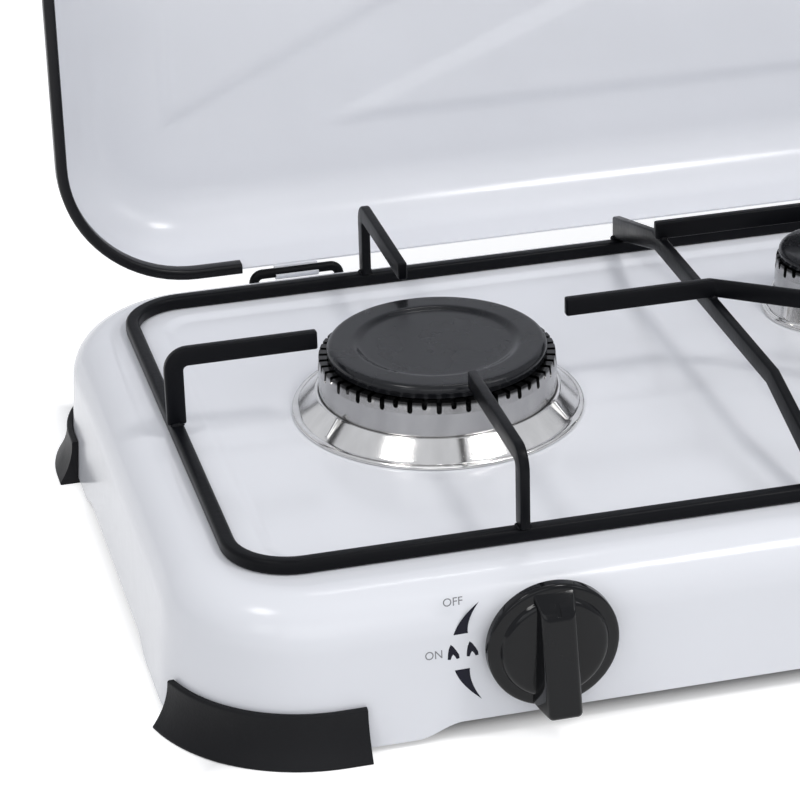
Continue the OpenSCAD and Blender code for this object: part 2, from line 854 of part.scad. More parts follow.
module control_knob(b) color("black") placed()
    translate([burner_x(b), knob_back, axis_z])
        rotate([90, 0, 0])
            difference() {
                union() {
                    difference() {
                        knob_skirt(knob_r, knob_edge, knob_dome);
                        translate([0, 0, -past])
                            knob_skirt(knob_r - knob_wall, knob_edge, knob_dome - knob_wall + past);
                    }
                    cylinder(h = knob_dome, r = knob_hub_r);
                    intersection() {
                        rotate([90, 0, 90])
                            linear_extrude(grip_base_w, center = true) grip_profile();
                        rotate([90, 0, 0])
                            linear_extrude(2 * knob_r, center = true)
                                polygon([
                                    [-grip_base_w / 2, grip_foot],
                                    [grip_base_w / 2, grip_foot],
                                    [grip_front_w / 2, knob_depth],
                                    [-grip_front_w / 2, knob_depth]
                                ]);
                    }
                }
                translate([0, 0, -past])
                    linear_extrude(stem_grip + past + running)
                        rotate([0, 0, 180]) mirror([1, 0, 0]) stem_outline(stem_r + running);
                pointer_groove();
            }

// Gas rail along the front, with its inlet leg out through the back wall
module rail_form(r, start, ends) {
    translate([inlet_x - rail_bend_r, rail_y, rail_z])
        rotate([0, -90, 0]) cylinder(h = inlet_x - rail_bend_r - start, r = r);
    translate([inlet_x - rail_bend_r, rail_y + rail_bend_r, rail_z]) bend(rail_bend_r, r);
    backwards(inlet_x, rail_y + rail_bend_r, rail_z)
        cylinder(h = inlet_end - rail_y - rail_bend_r + ends, r = r);
}

module gas_rail() color("silver") placed() difference() {
    rail_start = -burner_pitch - 2 * rail_r;
    rail_form(rail_r, rail_start, 0);
    rail_form(rail_r - rail_wall, rail_start + rail_r, past);
    for (b = BURNERS)
        translate([burner_x(b), rail_y, rail_z]) cylinder(h = 2 * rail_r, r = gas_way_r);
}

// Strap welded under the recess, with the rail through its eye
module rail_bracket(side) color("silver") placed() translate([side * bracket_x, rail_y, 0]) difference() {
    bracket_t = 2;
    bracket_w = 4 * rail_r;
    union() {
        translate([-bracket_t / 2, -bracket_w / 2, rail_z])
            cube([bracket_t, bracket_w, pan_under - rail_z]);
        translate([0, 0, rail_z])
            rotate([0, 90, 0]) cylinder(h = bracket_t, r = bracket_w / 2, center = true);
        translate([-bracket_w / 2, -bracket_w / 2, pan_under - bracket_t])
            cube([bracket_w, bracket_w, bracket_t]);
    }
    translate([0, 0, rail_z])
        rotate([0, 90, 0]) cylinder(h = 4 * bracket_t, r = rail_r + running, center = true);
}

module hose_tail() color("goldenrod") placed() backwards(inlet_x, inlet_end, rail_z) difference() {
    hex_r = 9;
    hex_h = 8;
    groove = 0.6;
    spigot = 10;
    union() {
        translate([0, 0, -spigot])
            cylinder(h = spigot + past, r = rail_r - rail_wall - running);
        cylinder(h = hex_h, r = hex_r, $fn = 6);
        translate([0, 0, hex_h]) {
            cylinder(h = hose_tail_l, r = hose_tail_r - groove);
            for (i = [0:2])
                translate([0, 0, i * hose_tail_l / 3])
                    cylinder(h = hose_tail_l / 4, r = hose_tail_r);
        }
    }
    translate([0, 0, -spigot - past])
        cylinder(h = spigot + hex_h + hose_tail_l + 2 * past, r = 3);
}

// Hinges: rod staples through the body, with the lid's leaves curled round them
module hinge_staple(side) color("black") placed()
    translate([side * hinge_x, hinge_y, hinge_z]) {
        half = staple_w / 2;
        rotate([0, 90, 0])
            cylinder(h = staple_w - 2 * staple_bend_r, r = staple_r, center = true);
        for (turn = [0, 180])
            rotate([0, 0, turn]) {
                translate([half - staple_bend_r, 0, -staple_bend_r])
                    rotate([90, 0, 0]) rotate([0, 0, 90]) bend(staple_bend_r, staple_r);
                translate([half, 0, -staple_bend_r])
                    rotate([180, 0, 0]) cylinder(h = staple_leg - staple_bend_r, r = staple_r);
            }
    }

washer_r = 5;
washer_h = 1.5;
washer_top = shoulder_under(hinge_y + washer_r) - beside;

module staple_washers() color("silver") placed()
    for (side = [-1, 1], leg = [-1, 1])
        translate([side * hinge_x + leg * staple_w / 2, hinge_y, washer_top - washer_h])
            difference() {
                cylinder(h = washer_h, r = washer_r);
                translate([0, 0, -past])
                    cylinder(h = washer_h + 2 * past, r = staple_r + running);
            }

// Turns pieces drawn on the closed lid up about the hinge axis
module lid_open() {
    placed()
        translate([0, hinge_y, hinge_z])
            rotate([-90, 0, 0])
                translate([0, -hinge_y, -hinge_z])
                    children();
}

module lid_section() {
    centre = [lid_corner_r - lid_bend_r, lid_depth - lid_bend_r];
    polygon(concat(
        [[lid_corner_r, 0]],
        arc(centre, lid_bend_r, 0, 90),
        [[centre[0] - lap, lid_depth], [centre[0] - lap, lid_depth - sheet]],
        arc(centre, lid_bend_r - sheet, 90, 0),
        [[lid_corner_r - sheet, 0]]
    ));
}

module lid_panel() color("white") lid_open() translate([0, lid_y, lid_edge_z]) {
    swept(lid_w, lid_d, lid_corner_r) lid_section();
    translate([0, 0, lid_depth - sheet])
        linear_extrude(sheet)
            round_rect(
                lid_w - 2 * lid_bend_r - lap,
                lid_d - 2 * lid_bend_r - lap,
                lid_corner_r - lid_bend_r - lap / 2
            );
}

module trim_section() {
    slot_out = lid_corner_r + running;
    slot_in = lid_corner_r - sheet - running;
    round_off = 1;
    polygon([
        [slot_out, 0],
        [slot_out, trim_h],
        [lid_corner_r + trim_out - round_off, trim_h],
        [lid_corner_r + trim_out, trim_h - round_off],
        [lid_corner_r + trim_out, round_off - trim_edge],
        [lid_corner_r + trim_out - round_off, -trim_edge],
        [lid_corner_r - sheet - trim_in + round_off, -trim_edge],
        [lid_corner_r - sheet - trim_in, round_off - trim_edge],
        [lid_corner_r - sheet - trim_in, trim_h - round_off],
        [lid_corner_r - sheet - trim_in + round_off, trim_h],
        [slot_in, trim_h],
        [slot_in, 0]
    ]);
}

// Black channel on the free edges, left off between the hinges
module lid_edge_trim() color("black") lid_open() difference() {
    translate([0, lid_y, lid_edge_z]) swept(lid_w, lid_d, lid_corner_r) trim_section();
    translate([-trim_gap_x, 0, lid_edge_z - 2 * trim_edge])
        cube([2 * trim_gap_x, 2 * hinge_y, 2 * trim_h]);
}

module hinge_leaf(side) color("white") lid_open()
    translate([side * hinge_x, hinge_y, hinge_z])
        rotate([90, 0, 90])
            linear_extrude(leaf_w, center = true) {
                difference() {
                    circle(curl_out);
                    circle(curl_in);
                    // The curl stays open towards the front of the open lid
                    translate([-2 * curl_out, -2 * curl_out])
                        square([2 * curl_out, 2 * curl_out]);
                }
                translate([-curl_out, 0]) square([leaf_t, leaf_l]);
            }

for (b = BURNERS) {
    burner_bezel(b);
    burner_head(b);
    burner_cap(b);
    mixing_tube(b);
    burner_jet(b);
    valve_body(b);
    valve_spring(b);
    spring_washer(b);
    valve_stem(b);
    control_knob(b);
}
for (i = [0:1]) {
    side = 2 * i - 1;
    grate_fingers(side);
    grate_divider(side);
    grate_arm(side);
    rail_bracket(side);
    hinge_staple(side);
    hinge_leaf(side);
}
for (k = [0:3])
    corner_foot(k);
cooktop_shell();
foot_screws();
grate_ring();
grate_cross_bar();
grate_centre_finger();
burner_screws();
gas_rail();
hose_tail();
staple_washers();
lid_panel();
lid_edge_trim();
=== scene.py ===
import math

import bmesh
import bpy
from mathutils import Matrix, Vector


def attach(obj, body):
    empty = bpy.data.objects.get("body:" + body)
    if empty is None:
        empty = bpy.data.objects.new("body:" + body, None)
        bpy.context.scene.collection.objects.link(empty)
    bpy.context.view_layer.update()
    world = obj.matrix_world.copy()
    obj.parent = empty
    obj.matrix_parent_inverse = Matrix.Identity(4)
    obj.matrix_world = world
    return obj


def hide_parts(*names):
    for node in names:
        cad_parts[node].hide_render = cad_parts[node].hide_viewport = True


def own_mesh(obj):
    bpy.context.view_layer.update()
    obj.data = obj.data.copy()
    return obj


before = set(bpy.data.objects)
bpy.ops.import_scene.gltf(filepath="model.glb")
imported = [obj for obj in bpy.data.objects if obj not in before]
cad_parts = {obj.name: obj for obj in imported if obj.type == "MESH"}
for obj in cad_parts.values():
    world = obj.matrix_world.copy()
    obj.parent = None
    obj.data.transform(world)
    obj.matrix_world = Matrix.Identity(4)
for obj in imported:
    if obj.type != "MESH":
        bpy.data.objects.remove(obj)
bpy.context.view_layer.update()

# Pressed body. One sheet of steel drawn into a shallow tray with leaned walls, a soft shoulder and a shallow
# recess round the burners, then fired with gloss white enamel. Its lower edge rises between the feet.
MM = 0.001
BURNER_LINE = -6.525
BODY_W, BODY_D, CORNER_R = 671.0, 326.0, 60.0
END_X, END_Y = BODY_W / 2 - CORNER_R, BODY_D / 2 - CORNER_R
LEAN = math.radians(4)
SHEET = 0.8
RIM_Z, PAN_Z = 63.0, 61.5
SKIRT_Z, SKIRT_LIFT, SKIRT_RAMP = 2.5, 5.0, 19.0
RAMP_X, RAMP_Y = END_X - 29, END_Y - 29
SHOULDER_R = 20.0
SHOULDER_Z = RIM_Z - SHOULDER_R
WALL_TOP = SHOULDER_Z + SHOULDER_R * math.sin(LEAN)
SHOULDER_IN = CORNER_R - SHOULDER_R * math.cos(LEAN) - math.tan(LEAN) * (WALL_TOP - SKIRT_Z)
RECESS_EDGE, RECESS_SLOPE = 17.0, 6.6
QUARTERS = ((1, 0), (0, 1), (-1, 0), (0, -1))


def row_frame(p):
    return (p[0] * MM, (p[1] + BURNER_LINE) * MM, p[2] * MM)


def in_scene(name, data):
    piece = bpy.data.objects.new(name, data)
    bpy.context.collection.objects.link(piece)
    return piece


def closed_piece(name, points, faces):
    """A mesh piece from points in millimetres about the burner line, with doubled points joined."""
    mesh = bpy.data.meshes.new(name)
    mesh.from_pydata([row_frame(p) for p in points], [], faces)
    work = bmesh.new()
    work.from_mesh(mesh)
    bmesh.ops.remove_doubles(work, verts=work.verts, dist=1e-7)
    bmesh.ops.dissolve_degenerate(work, edges=work.edges, dist=1e-8)
    bmesh.ops.recalc_face_normals(work, faces=work.faces)
    work.to_mesh(mesh)
    work.free()
    return in_scene(name, mesh)


def settle(piece, material, slot, *nodes, body="stove", sharp=32):
    """Shades a finished piece, gives it its finish and hangs it on its body."""
    mesh = piece.data
    mesh.materials.clear()
    mesh.materials.append(material)
    mesh.polygons.foreach_set("use_smooth", [True] * len(mesh.polygons))
    mesh.set_sharp_from_angle(angle=math.radians(sharp))
    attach(piece, body)
    if nodes:
        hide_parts(*nodes)
    return piece


def heading(turn):
    return math.cos(math.radians(turn)), math.sin(math.radians(turn))


def round_stations(width, depth, radius, turn_steps, cuts_x, cuts_y):
    """Stops round a rectangle with round corners, from the right on: corner axis x, y and outward x, y."""
    ring = []
    for k, (c, s) in enumerate(QUARTERS):
        out, along, cuts = width / 2 - radius, depth / 2 - radius, cuts_y
        if k % 2:
            out, along, cuts = along, out, cuts_x
        for t in cuts[:-1]:
            ring.append((c * out - s * t, s * out + c * t, c, s))
        for i in range(turn_steps):
            ring.append((c * out - s * along, s * out + c * along, *heading(90 * (k + i / turn_steps))))
    return ring


def skin(rows, start=0):
    """Quads between closed rows of points that follow each other."""
    n = len(rows[0])
    faces = []
    for j in range(len(rows) - 1):
        for i in range(n):
            a, b = start + j * n + i, start + j * n + (i + 1) % n
            faces.append((a, b, b + n, a + n))
    return faces


def lofted(name, rows):
    """A piece skinned over closed rows of points, with a face on each end."""
    n, last = len(rows[0]), (len(rows) - 1) * len(rows[0])
    faces = skin(rows) + [tuple(range(n)), tuple(range(last, last + n))]
    return closed_piece(name, [p for row in rows for p in row], faces)


def even(low, high, step):
    count = max(1, round(abs((high - low) / step)))
    return [low + (high - low) * i / count for i in range(count + 1)]


def eased(t):
    t = min(1.0, max(0.0, t))
    return t * t * (3 - 2 * t)


def wall_at(z):
    return CORNER_R - math.tan(LEAN) * (z - SKIRT_Z)


def body_section(low, inset):
    """The body's outline from the lower edge to the pan, as (way out from the corner axis, height)."""
    wall = [low + (WALL_TOP - low) * t for t in (0, 0.04, 0.3, 0.6, 0.9, 0.97)]
    line = [(wall_at(z) - inset / math.cos(LEAN), z) for z in wall]
    r = SHOULDER_R - inset
    for i in range(19):
        a = LEAN + (math.pi / 2 - LEAN) * i / 18
        line.append((SHOULDER_IN + r * math.cos(a), SHOULDER_Z + r * math.sin(a)))
    line.append((SHOULDER_IN - 1.5, RIM_Z - inset))
    for u in even(17.2, 10, 0.9):
        line.append((u, RIM_Z - inset - (RIM_Z - PAN_Z) * eased((RECESS_EDGE - u) / RECESS_SLOPE)))
    return line + [(8.5, PAN_Z - inset), (6.5, PAN_Z - inset)]


def skirt_low(station):
    x, y, nx, ny = station
    if abs(nx) in (0, 1):
        reach = RAMP_X - abs(x) if nx == 0 else RAMP_Y - abs(y)
        return SKIRT_Z + SKIRT_LIFT * (1 - math.cos(math.pi * min(1, max(0, reach / SKIRT_RAMP)))) / 2
    return SKIRT_Z


def body_cuts(end, near_end, ramp, middle):
    """Stops along one wall, closer together where the lower edge rises, and the same mirrored."""
    half = [*even(0, middle, 14)[1:], *even(ramp - SKIRT_RAMP, ramp, 2), near_end, end]
    return [-t for t in reversed(half)] + [0.0] + half


body_ring = round_stations(BODY_W, BODY_D, CORNER_R, 28, body_cuts(END_X, 261, RAMP_X, 212),
                           body_cuts(END_Y, 88, RAMP_Y, 42))
outside = [body_section(skirt_low(s), 0) for s in body_ring]
inside = [body_section(skirt_low(s), SHEET) for s in body_ring]
rows = []
for side in (outside, inside):
    for j in range(len(side[0])):
        rows.append([(x + nx * side[i][j][0], y + ny * side[i][j][0], side[i][j][1])
                     for i, (x, y, nx, ny) in enumerate(body_ring)])
stops, levels = len(body_ring), len(outside[0])
faces = skin(rows[:levels]) + skin(rows[levels:], levels * stops)
faces += [tuple(range((k * levels - 1) * stops, k * levels * stops)) for k in (1, 2)]
faces += [(i, (i + 1) % stops, levels * stops + (i + 1) % stops, levels * stops + i) for i in range(stops)]
body = closed_piece("enamelled_body", [p for row in rows for p in row], faces)


def node(tree, kind, ins=None, **settings):
    """Adds a node; ins gives its inputs numbers or the sockets that feed them."""
    made = tree.nodes.new(kind)
    for label, value in settings.items():
        setattr(made, label, value)
    for socket, value in (ins or {}).items():
        if isinstance(value, bpy.types.NodeSocket):
            tree.links.new(value, made.inputs[socket])
        else:
            made.inputs[socket].default_value = value
    return made


def node_group(name, inputs, outputs):
    """An empty shader group with named sockets, and its input and output nodes."""
    group = bpy.data.node_groups.new(name, "ShaderNodeTree")
    for label, kind, value in inputs:
        socket = group.interface.new_socket(label, in_out="INPUT", socket_type=f"NodeSocket{kind}")
        if value is not None:
            socket.default_value = value
    for label, kind in outputs:
        group.interface.new_socket(label, in_out="OUTPUT", socket_type=f"NodeSocket{kind}")
    return group, group.nodes.new("NodeGroupInput").outputs, group.nodes.new("NodeGroupOutput").inputs


def noise(tree, vector, scale, detail=2.0, rough=0.5):
    ins = {"Vector": vector, "Scale": scale, "Detail": detail, "Roughness": rough}
    return node(tree, "ShaderNodeTexNoise", ins).outputs["Fac"]


def spread(tree, value, low, high, start=0.3, stop=0.7):
    """Maps a value onto low..high, where either end may be a socket or a number."""
    ins = {"Value": value, "From Min": start, "From Max": stop, "To Min": low, "To Max": high}
    return node(tree, "ShaderNodeMapRange", ins).outputs["Result"]


def shaded(tree, colour, value):
    """A colour made lighter or darker by a value about 1."""
    return node(tree, "ShaderNodeVectorMath", {0: colour, "Scale": value}, operation="SCALE").outputs[0]


# The fired or moulded skin that the enamel, plastic and rubber pieces share: slow clouds in the tone,
# wiped patches in the gloss and a fine ripple in the surface.
LOOKS = [("Colour", "Color"), ("Roughness", "Float"), ("Height", "Float")]
cured_skin, given, gives = node_group(
    "cured_skin",
    [("Vector", "Vector", None), ("Colour", "Color", (0.8, 0.8, 0.8, 1)), ("Darker", "Float", 0.97),
     ("Lighter", "Float", 1.03), ("Glossiest", "Float", 0.1), ("Dullest", "Float", 0.2),
     ("Ripple", "Float", 300.0)],
    LOOKS,
)
clouds = spread(cured_skin, noise(cured_skin, given["Vector"], 9, 3), given["Darker"], given["Lighter"])
patches = noise(cured_skin, given["Vector"], 34, 4, 0.6)
wiped = spread(cured_skin, patches, given["Glossiest"], given["Dullest"])


def give_look(group, gives, colour, roughness, height):
    for label, socket in (("Colour", colour), ("Roughness", roughness), ("Height", height)):
        group.links.new(socket, gives[label])


give_look(cured_skin, gives, shaded(cured_skin, given["Colour"], clouds), wiped,
          noise(cured_skin, given["Vector"], given["Ripple"], 2))


def blank_finish(name):
    finish = bpy.data.materials.new(name)
    finish.use_nodes = True
    tree = finish.node_tree
    tree.nodes.clear()
    shader = tree.nodes.new("ShaderNodeBsdfPrincipled")
    node(tree, "ShaderNodeOutputMaterial", {0: shader.outputs[0]})
    return finish, tree, shader


def object_place(tree):
    return tree.nodes.new("ShaderNodeTexCoord").outputs["Object"]


def dressed(tree, shader, look, depth):
    """Feeds a look's colour, gloss and fine relief, of a given depth, to a shader."""
    tree.links.new(look.outputs["Colour"], shader.inputs["Base Color"])
    tree.links.new(look.outputs["Roughness"], shader.inputs["Roughness"])
    ins = {"Strength": 1.0, "Distance": depth, "Height": look.outputs["Height"]}
    bump = node(tree, "ShaderNodeBump", ins)
    tree.links.new(bump.outputs[0], shader.inputs["Normal"])


def skinned_finish(name, colour, tones, gloss, ripple, depth, specular=0.5, coat=0.0):
    finish, tree, shader = blank_finish(name)
    ins = dict(zip(("Darker", "Lighter", "Glossiest", "Dullest", "Ripple"), (*tones, *gloss, ripple)))
    ins.update({"Vector": object_place(tree), "Colour": (*colour, 1)})
    dressed(tree, shader, node(tree, "ShaderNodeGroup", ins, node_tree=cured_skin), depth)
    for label, value in (("Specular IOR Level", specular), ("Coat Weight", coat), ("Coat Roughness", 0.08)):
        shader.inputs[label].default_value = value
    return finish


white_enamel = skinned_finish(
    "white_enamel", (0.80, 0.812, 0.85), (0.985, 1.012), (0.13, 0.2), 170, 0.00003, 0.34)
settle(body, white_enamel, "white_enamel", "cooktop_shell")

# Corner feet. Moulded black rubber with a concave flare, a thin upper lip and a slot that grips the body's
# lower edge. All four are one moulding, turned by quarter turns from corner to corner, one leg cut short.
FOOT_H, FOOT_LIP, FOOT_TOE, FOOT_SHORT = 20.5, 2.75, 69.0, 18.5
TONGUE_T, TONGUE_TOP, GRIP_GAP = 3.0, SKIRT_Z + 9, 0.3
CORNERS = ("rear_right", "rear_left", "front_left", "front_right")


def at_corner(k, x, y):
    """A point of the rear right corner, turned by k quarter turns about the stove's middle."""
    c, s = QUARTERS[k]
    out, along = (END_X + x, END_Y + y) if k % 2 == 0 else (END_Y + x, END_X + y)
    return (c * out - s * along, s * out + c * along)


def filleted(corners, steps=4):
    """A closed outline with each corner (x, y, radius) rounded off."""
    line = []
    for i, (x, y, r) in enumerate(corners):
        if r <= 0:
            line.append((x, y))
            continue
        here = Vector((x, y))
        before = (Vector(corners[i - 1][:2]) - here).normalized()
        after = (Vector(corners[(i + 1) % len(corners)][:2]) - here).normalized()
        half = before.angle(after) / 2
        centre = here + (before + after).normalized() * (r / math.sin(half))
        start, stop = here + before * (r / math.tan(half)), here + after * (r / math.tan(half))
        a, b = start - centre, stop - centre
        turn = a.angle_signed(b)
        for k in range(steps + 1):
            spun = a.copy()
            spun.rotate(Matrix.Rotation(-turn * k / steps, 2))
            line.append(tuple(centre + spun))
    return line


def foot_outline():
    top_in = wall_at(FOOT_H) + GRIP_GAP
    lip = top_in + FOOT_LIP
    tongue = wall_at(TONGUE_TOP) - SHEET - GRIP_GAP
    base_in = wall_at(0) - SHEET - GRIP_GAP - TONGUE_T
    flare = [(lip + (FOOT_TOE - lip) * (1 - i / 14) ** 2, FOOT_H * i / 14, 0) for i in range(1, 14)]
    return filleted([(base_in, 0, 0.8), (FOOT_TOE, 0, 0.7), *flare, (lip, FOOT_H, 0.9), (top_in, FOOT_H, 0.5),
                     (CORNER_R + GRIP_GAP, SKIRT_Z, 0), (CORNER_R - SHEET - GRIP_GAP, SKIRT_Z, 0),
                     (tongue, TONGUE_TOP, 0.5), (tongue - TONGUE_T, TONGUE_TOP, 0.8)])


foot_rubber = skinned_finish(
    "foot_rubber", (0.0075, 0.0077, 0.009), (0.8, 1.35), (0.42, 0.58), 900, 0.00008, 0.15)
outline = foot_outline()
rows = [[(x, u, z) for u, z in outline] for x in (-10, -5)]
for c, s in map(heading, even(90, 21, 3)):
    rows.append([(u * c, u * s, z) for u, z in outline])
rows.append([(math.sqrt(u * u - FOOT_SHORT * FOOT_SHORT), FOOT_SHORT, z) for u, z in outline])
for k, corner in enumerate(CORNERS):
    foot = lofted(f"corner_foot_{corner}", [[(*at_corner(k, x, y), z) for x, y, z in row] for row in rows])
    settle(foot, foot_rubber, "foot_rubber", f"foot_{corner}", sharp=40)


# Screws. Small zinc-plated pan-head screws with a cross recess: one from inside each foot, and two under each
# burner, which pull the flange of the gas tube up against the pan.
def geometry_tree(name, **inputs):
    """A geometry node tree with named inputs that ends in Realize Instances and Set Material."""
    tree = bpy.data.node_groups.new(name, "GeometryNodeTree")
    tree.interface.new_socket("Geometry", in_out="INPUT", socket_type="NodeSocketGeometry")
    for label, kind in (*inputs.items(), ("Finish", "Material")):
        tree.interface.new_socket(label, in_out="INPUT", socket_type=f"NodeSocket{kind}")
    tree.interface.new_socket("Geometry", in_out="OUTPUT", socket_type="NodeSocketGeometry")
    given = tree.nodes.new("NodeGroupInput").outputs
    real = tree.nodes.new("GeometryNodeRealizeInstances")
    painted = node(tree, "GeometryNodeSetMaterial",
                   {"Geometry": real.outputs[0], "Material": given["Finish"]})
    node(tree, "NodeGroupOutput", {0: painted.outputs[0]})
    return tree, given, real.inputs[0]


def baked(piece):
    return bpy.data.meshes.new_from_object(piece.evaluated_get(bpy.context.evaluated_depsgraph_get()))


def grown(name, tree, points, edges=(), faces=(), aims=None, **inputs):
    """Runs a tree on points in the row frame and keeps what it makes as a plain mesh piece."""
    seed = bpy.data.meshes.new(name)
    seed.from_pydata(points, edges, faces)
    if aims:
        store = seed.attributes.new("aim", "FLOAT_VECTOR", "POINT")
        store.data.foreach_set("vector", [c for a in aims for c in a])
    piece = in_scene(name, seed)
    modifier = piece.modifiers.new(tree.name, "NODES")
    modifier.node_group = tree
    for item in tree.interface.items_tree:
        if item.item_type == "SOCKET" and item.in_out == "INPUT" and item.name in inputs:
            modifier[item.identifier] = inputs[item.name]
    mesh = baked(piece)
    piece.modifiers.remove(modifier)
    piece.data = mesh
    return piece


def lathed(name, profile, steps=96, centre=(0, 0), turn=None):
    """A turned piece from a closed outline of (radius, height), with a UV map round it and along it."""
    points, faces, maps, run = [], [], [], [0.0]
    n = len(profile)
    for j in range(n):
        run.append(run[-1] + math.dist(profile[j], profile[(j + 1) % n]) * MM)
    for i in range(steps):
        a = 2 * math.pi * i / steps
        points += [(centre[0] + r * math.cos(a), centre[1] + r * math.sin(a), z) for r, z in profile]
    for i in range(steps):
        for j in range(n):
            k, m = (i + 1) % steps, (j + 1) % n
            on_axis, next_on_axis = profile[j][0] < 1e-6, profile[m][0] < 1e-6
            if on_axis and next_on_axis:
                continue
            u, w = i / steps, (i + 1) / steps
            if on_axis:
                faces.append((j, k * n + m, i * n + m))
                maps += [(u, run[j]), (w, run[j + 1]), (u, run[j + 1])]
            elif next_on_axis:
                faces.append((i * n + j, k * n + j, m))
                maps += [(u, run[j]), (w, run[j]), (u, run[j + 1])]
            else:
                faces.append((i * n + j, k * n + j, k * n + m, i * n + m))
                maps += [(u, run[j]), (w, run[j]), (w, run[j + 1]), (u, run[j + 1])]
    if turn:
        points = [tuple(turn @ Vector(p)) for p in points]
    mesh = bpy.data.meshes.new(name)
    mesh.from_pydata([row_frame(p) for p in points], [], faces)
    mesh.uv_layers.new(name="lathe").data.foreach_set("uv", [c for uv in maps for c in uv])
    work = bmesh.new()
    work.from_mesh(mesh)
    bmesh.ops.delete(work, geom=[v for v in work.verts if not v.link_faces], context="VERTS")
    bmesh.ops.recalc_face_normals(work, faces=work.faces)
    work.to_mesh(mesh)
    work.free()
    return in_scene(name, mesh)


# Plating, machining and handling on the bare metal pieces: soft stains and short fine scratches.
worked_metal, given, gives = node_group(
    "worked_metal",
    [("Vector", "Vector", None), ("Colour", "Color", (0.6, 0.6, 0.6, 1)), ("Glossiest", "Float", 0.25),
     ("Dullest", "Float", 0.45)],
    LOOKS,
)
stretch = node(worked_metal, "ShaderNodeMapping", {"Vector": given["Vector"], "Scale": (60, 900, 900)})
stains = spread(worked_metal, noise(worked_metal, given["Vector"], 70, 4), 0.82, 1.1)
scratches = noise(worked_metal, stretch.outputs[0], 1.0, 3)
give_look(worked_metal, gives, shaded(worked_metal, given["Colour"], stains),
          spread(worked_metal, scratches, given["Glossiest"], given["Dullest"]), scratches)


def metal_finish(name, colour, gloss):
    finish, tree, shader = blank_finish(name)
    ins = {"Vector": object_place(tree), "Colour": (*colour, 1), "Glossiest": gloss[0], "Dullest": gloss[1]}
    dressed(tree, shader, node(tree, "ShaderNodeGroup", ins, node_tree=worked_metal), 0.00002)
    shader.inputs["Metallic"].default_value = 1.0
    return finish


plated_steel = metal_finish("plated_steel", (0.56, 0.57, 0.58), (0.26, 0.42))
valve_brass = metal_finish("valve_brass", (0.70, 0.50, 0.22), (0.2, 0.36))

screw_tree, given, real_in = geometry_tree("screws_on_points", Head="Object", Size="Float")
head = node(screw_tree, "GeometryNodeObjectInfo", {"Object": given["Head"]})
aim = node(screw_tree, "GeometryNodeInputNamedAttribute", {"Name": "aim"}, data_type="FLOAT_VECTOR")
turned = node(screw_tree, "FunctionNodeAlignRotationToVector", {"Vector": aim.outputs[0]}, axis="Z")
set_screws = node(screw_tree, "GeometryNodeInstanceOnPoints", {
    "Points": given["Geometry"], "Instance": head.outputs["Geometry"], "Rotation": turned.outputs[0],
    "Scale": given["Size"]})
screw_tree.links.new(set_screws.outputs[0], real_in)


def cut_away(piece, *cutters):
    """Cuts solids out of a piece and removes them."""
    for cutter in cutters:
        cut = piece.modifiers.new("cut", "BOOLEAN")
        cut.object, cut.operation, cut.solver = cutter, "DIFFERENCE", "EXACT"
    mesh = baked(piece)
    piece.modifiers.clear()
    piece.data = mesh
    for cutter in cutters:
        bpy.data.objects.remove(cutter)
    return piece


def screw_pattern(shank_l):
    """One screw of 1 mm shank radius about the world's middle, head below, with its cross cut in."""
    outline = [(0, -0.7), (0.9, -0.95), (1.6, -0.8), (1.95, -0.4), (2, 0), (1, 0), (1, shank_l - 0.4),
               (0.7, shank_l), (0, shank_l)]
    cutters = []
    for w, d in ((2.2, 0.45), (0.45, 2.2)):
        box = Matrix.Translation(row_frame((0, 0, -0.9))) @ Matrix.Diagonal((w * MM, d * MM, 0.9 * MM, 1))
        cube = bmesh.new()
        bmesh.ops.create_cube(cube, size=1, matrix=box)
        mesh = bpy.data.meshes.new("cross_cutter")
        cube.to_mesh(mesh)
        cube.free()
        cutters.append(in_scene("cross_cutter", mesh))
    screw = cut_away(lathed("screw_pattern", outline, 32), *cutters)
    screw.data.transform(Matrix.Translation((0, -BURNER_LINE * MM, 0)))
    return screw


# Each burner's name, place, cap radius, head radius and bezel radius.
BURNERS = (("left", -193.5, 0.0, 46.0, 50.0, 61.5), ("middle", 0.0, 44.0, 24.5, 26.0, 31.5),
           ("right", 193.5, 0.0, 46.0, 50.0, 61.5))
SCREW_OUT, FLANGE_T, FOOT_SCREW_Z = 19.0, 2.0, SKIRT_Z + 4.5
seats = [row_frame((x + s * SCREW_OUT, y, PAN_Z - SHEET - FLANGE_T))
         for _, x, y, *_ in BURNERS for s in (-1, 1)]
foot_seats, foot_aims = [], []
back = SHEET + GRIP_GAP + TONGUE_T
for k, (c, s) in enumerate(QUARTERS):
    x, y = at_corner(k, -5, wall_at(FOOT_SCREW_Z) - back * math.cos(LEAN))
    foot_seats.append(row_frame((x, y, FOOT_SCREW_Z - back * math.sin(LEAN))))
    foot_aims.append((-s * math.cos(LEAN), c * math.cos(LEAN), math.sin(LEAN)))
for name, shank, places, aims, size in (("burner", 5.2, seats, [(0, 0, 1)] * 6, 2.0),
                                        ("foot", 4.0, foot_seats, foot_aims, 1.5)):
    pattern = screw_pattern(shank)
    screws = grown(f"{name}_screw_set", screw_tree, places, aims=aims, Head=pattern, Size=size,
                   Finish=plated_steel)
    settle(screws, plated_steel, "plated_steel", f"{name}_screws")
    bpy.data.objects.remove(pattern)

# Grate ring. A square steel bar bent into one long frame that lies on the rim, with soft edges under a
# thick coat of black enamel. The fingers, dividers and arms are welded to it.
RING_W, RING_D, RING_R, RING_BAR = 616.0, 262.0, 28.0, 6.0
RING_TOP, REST_Z, BAR_UNDER = RIM_Z + RING_BAR, 103.0, 95.0
BAR_EDGE = 0.0016


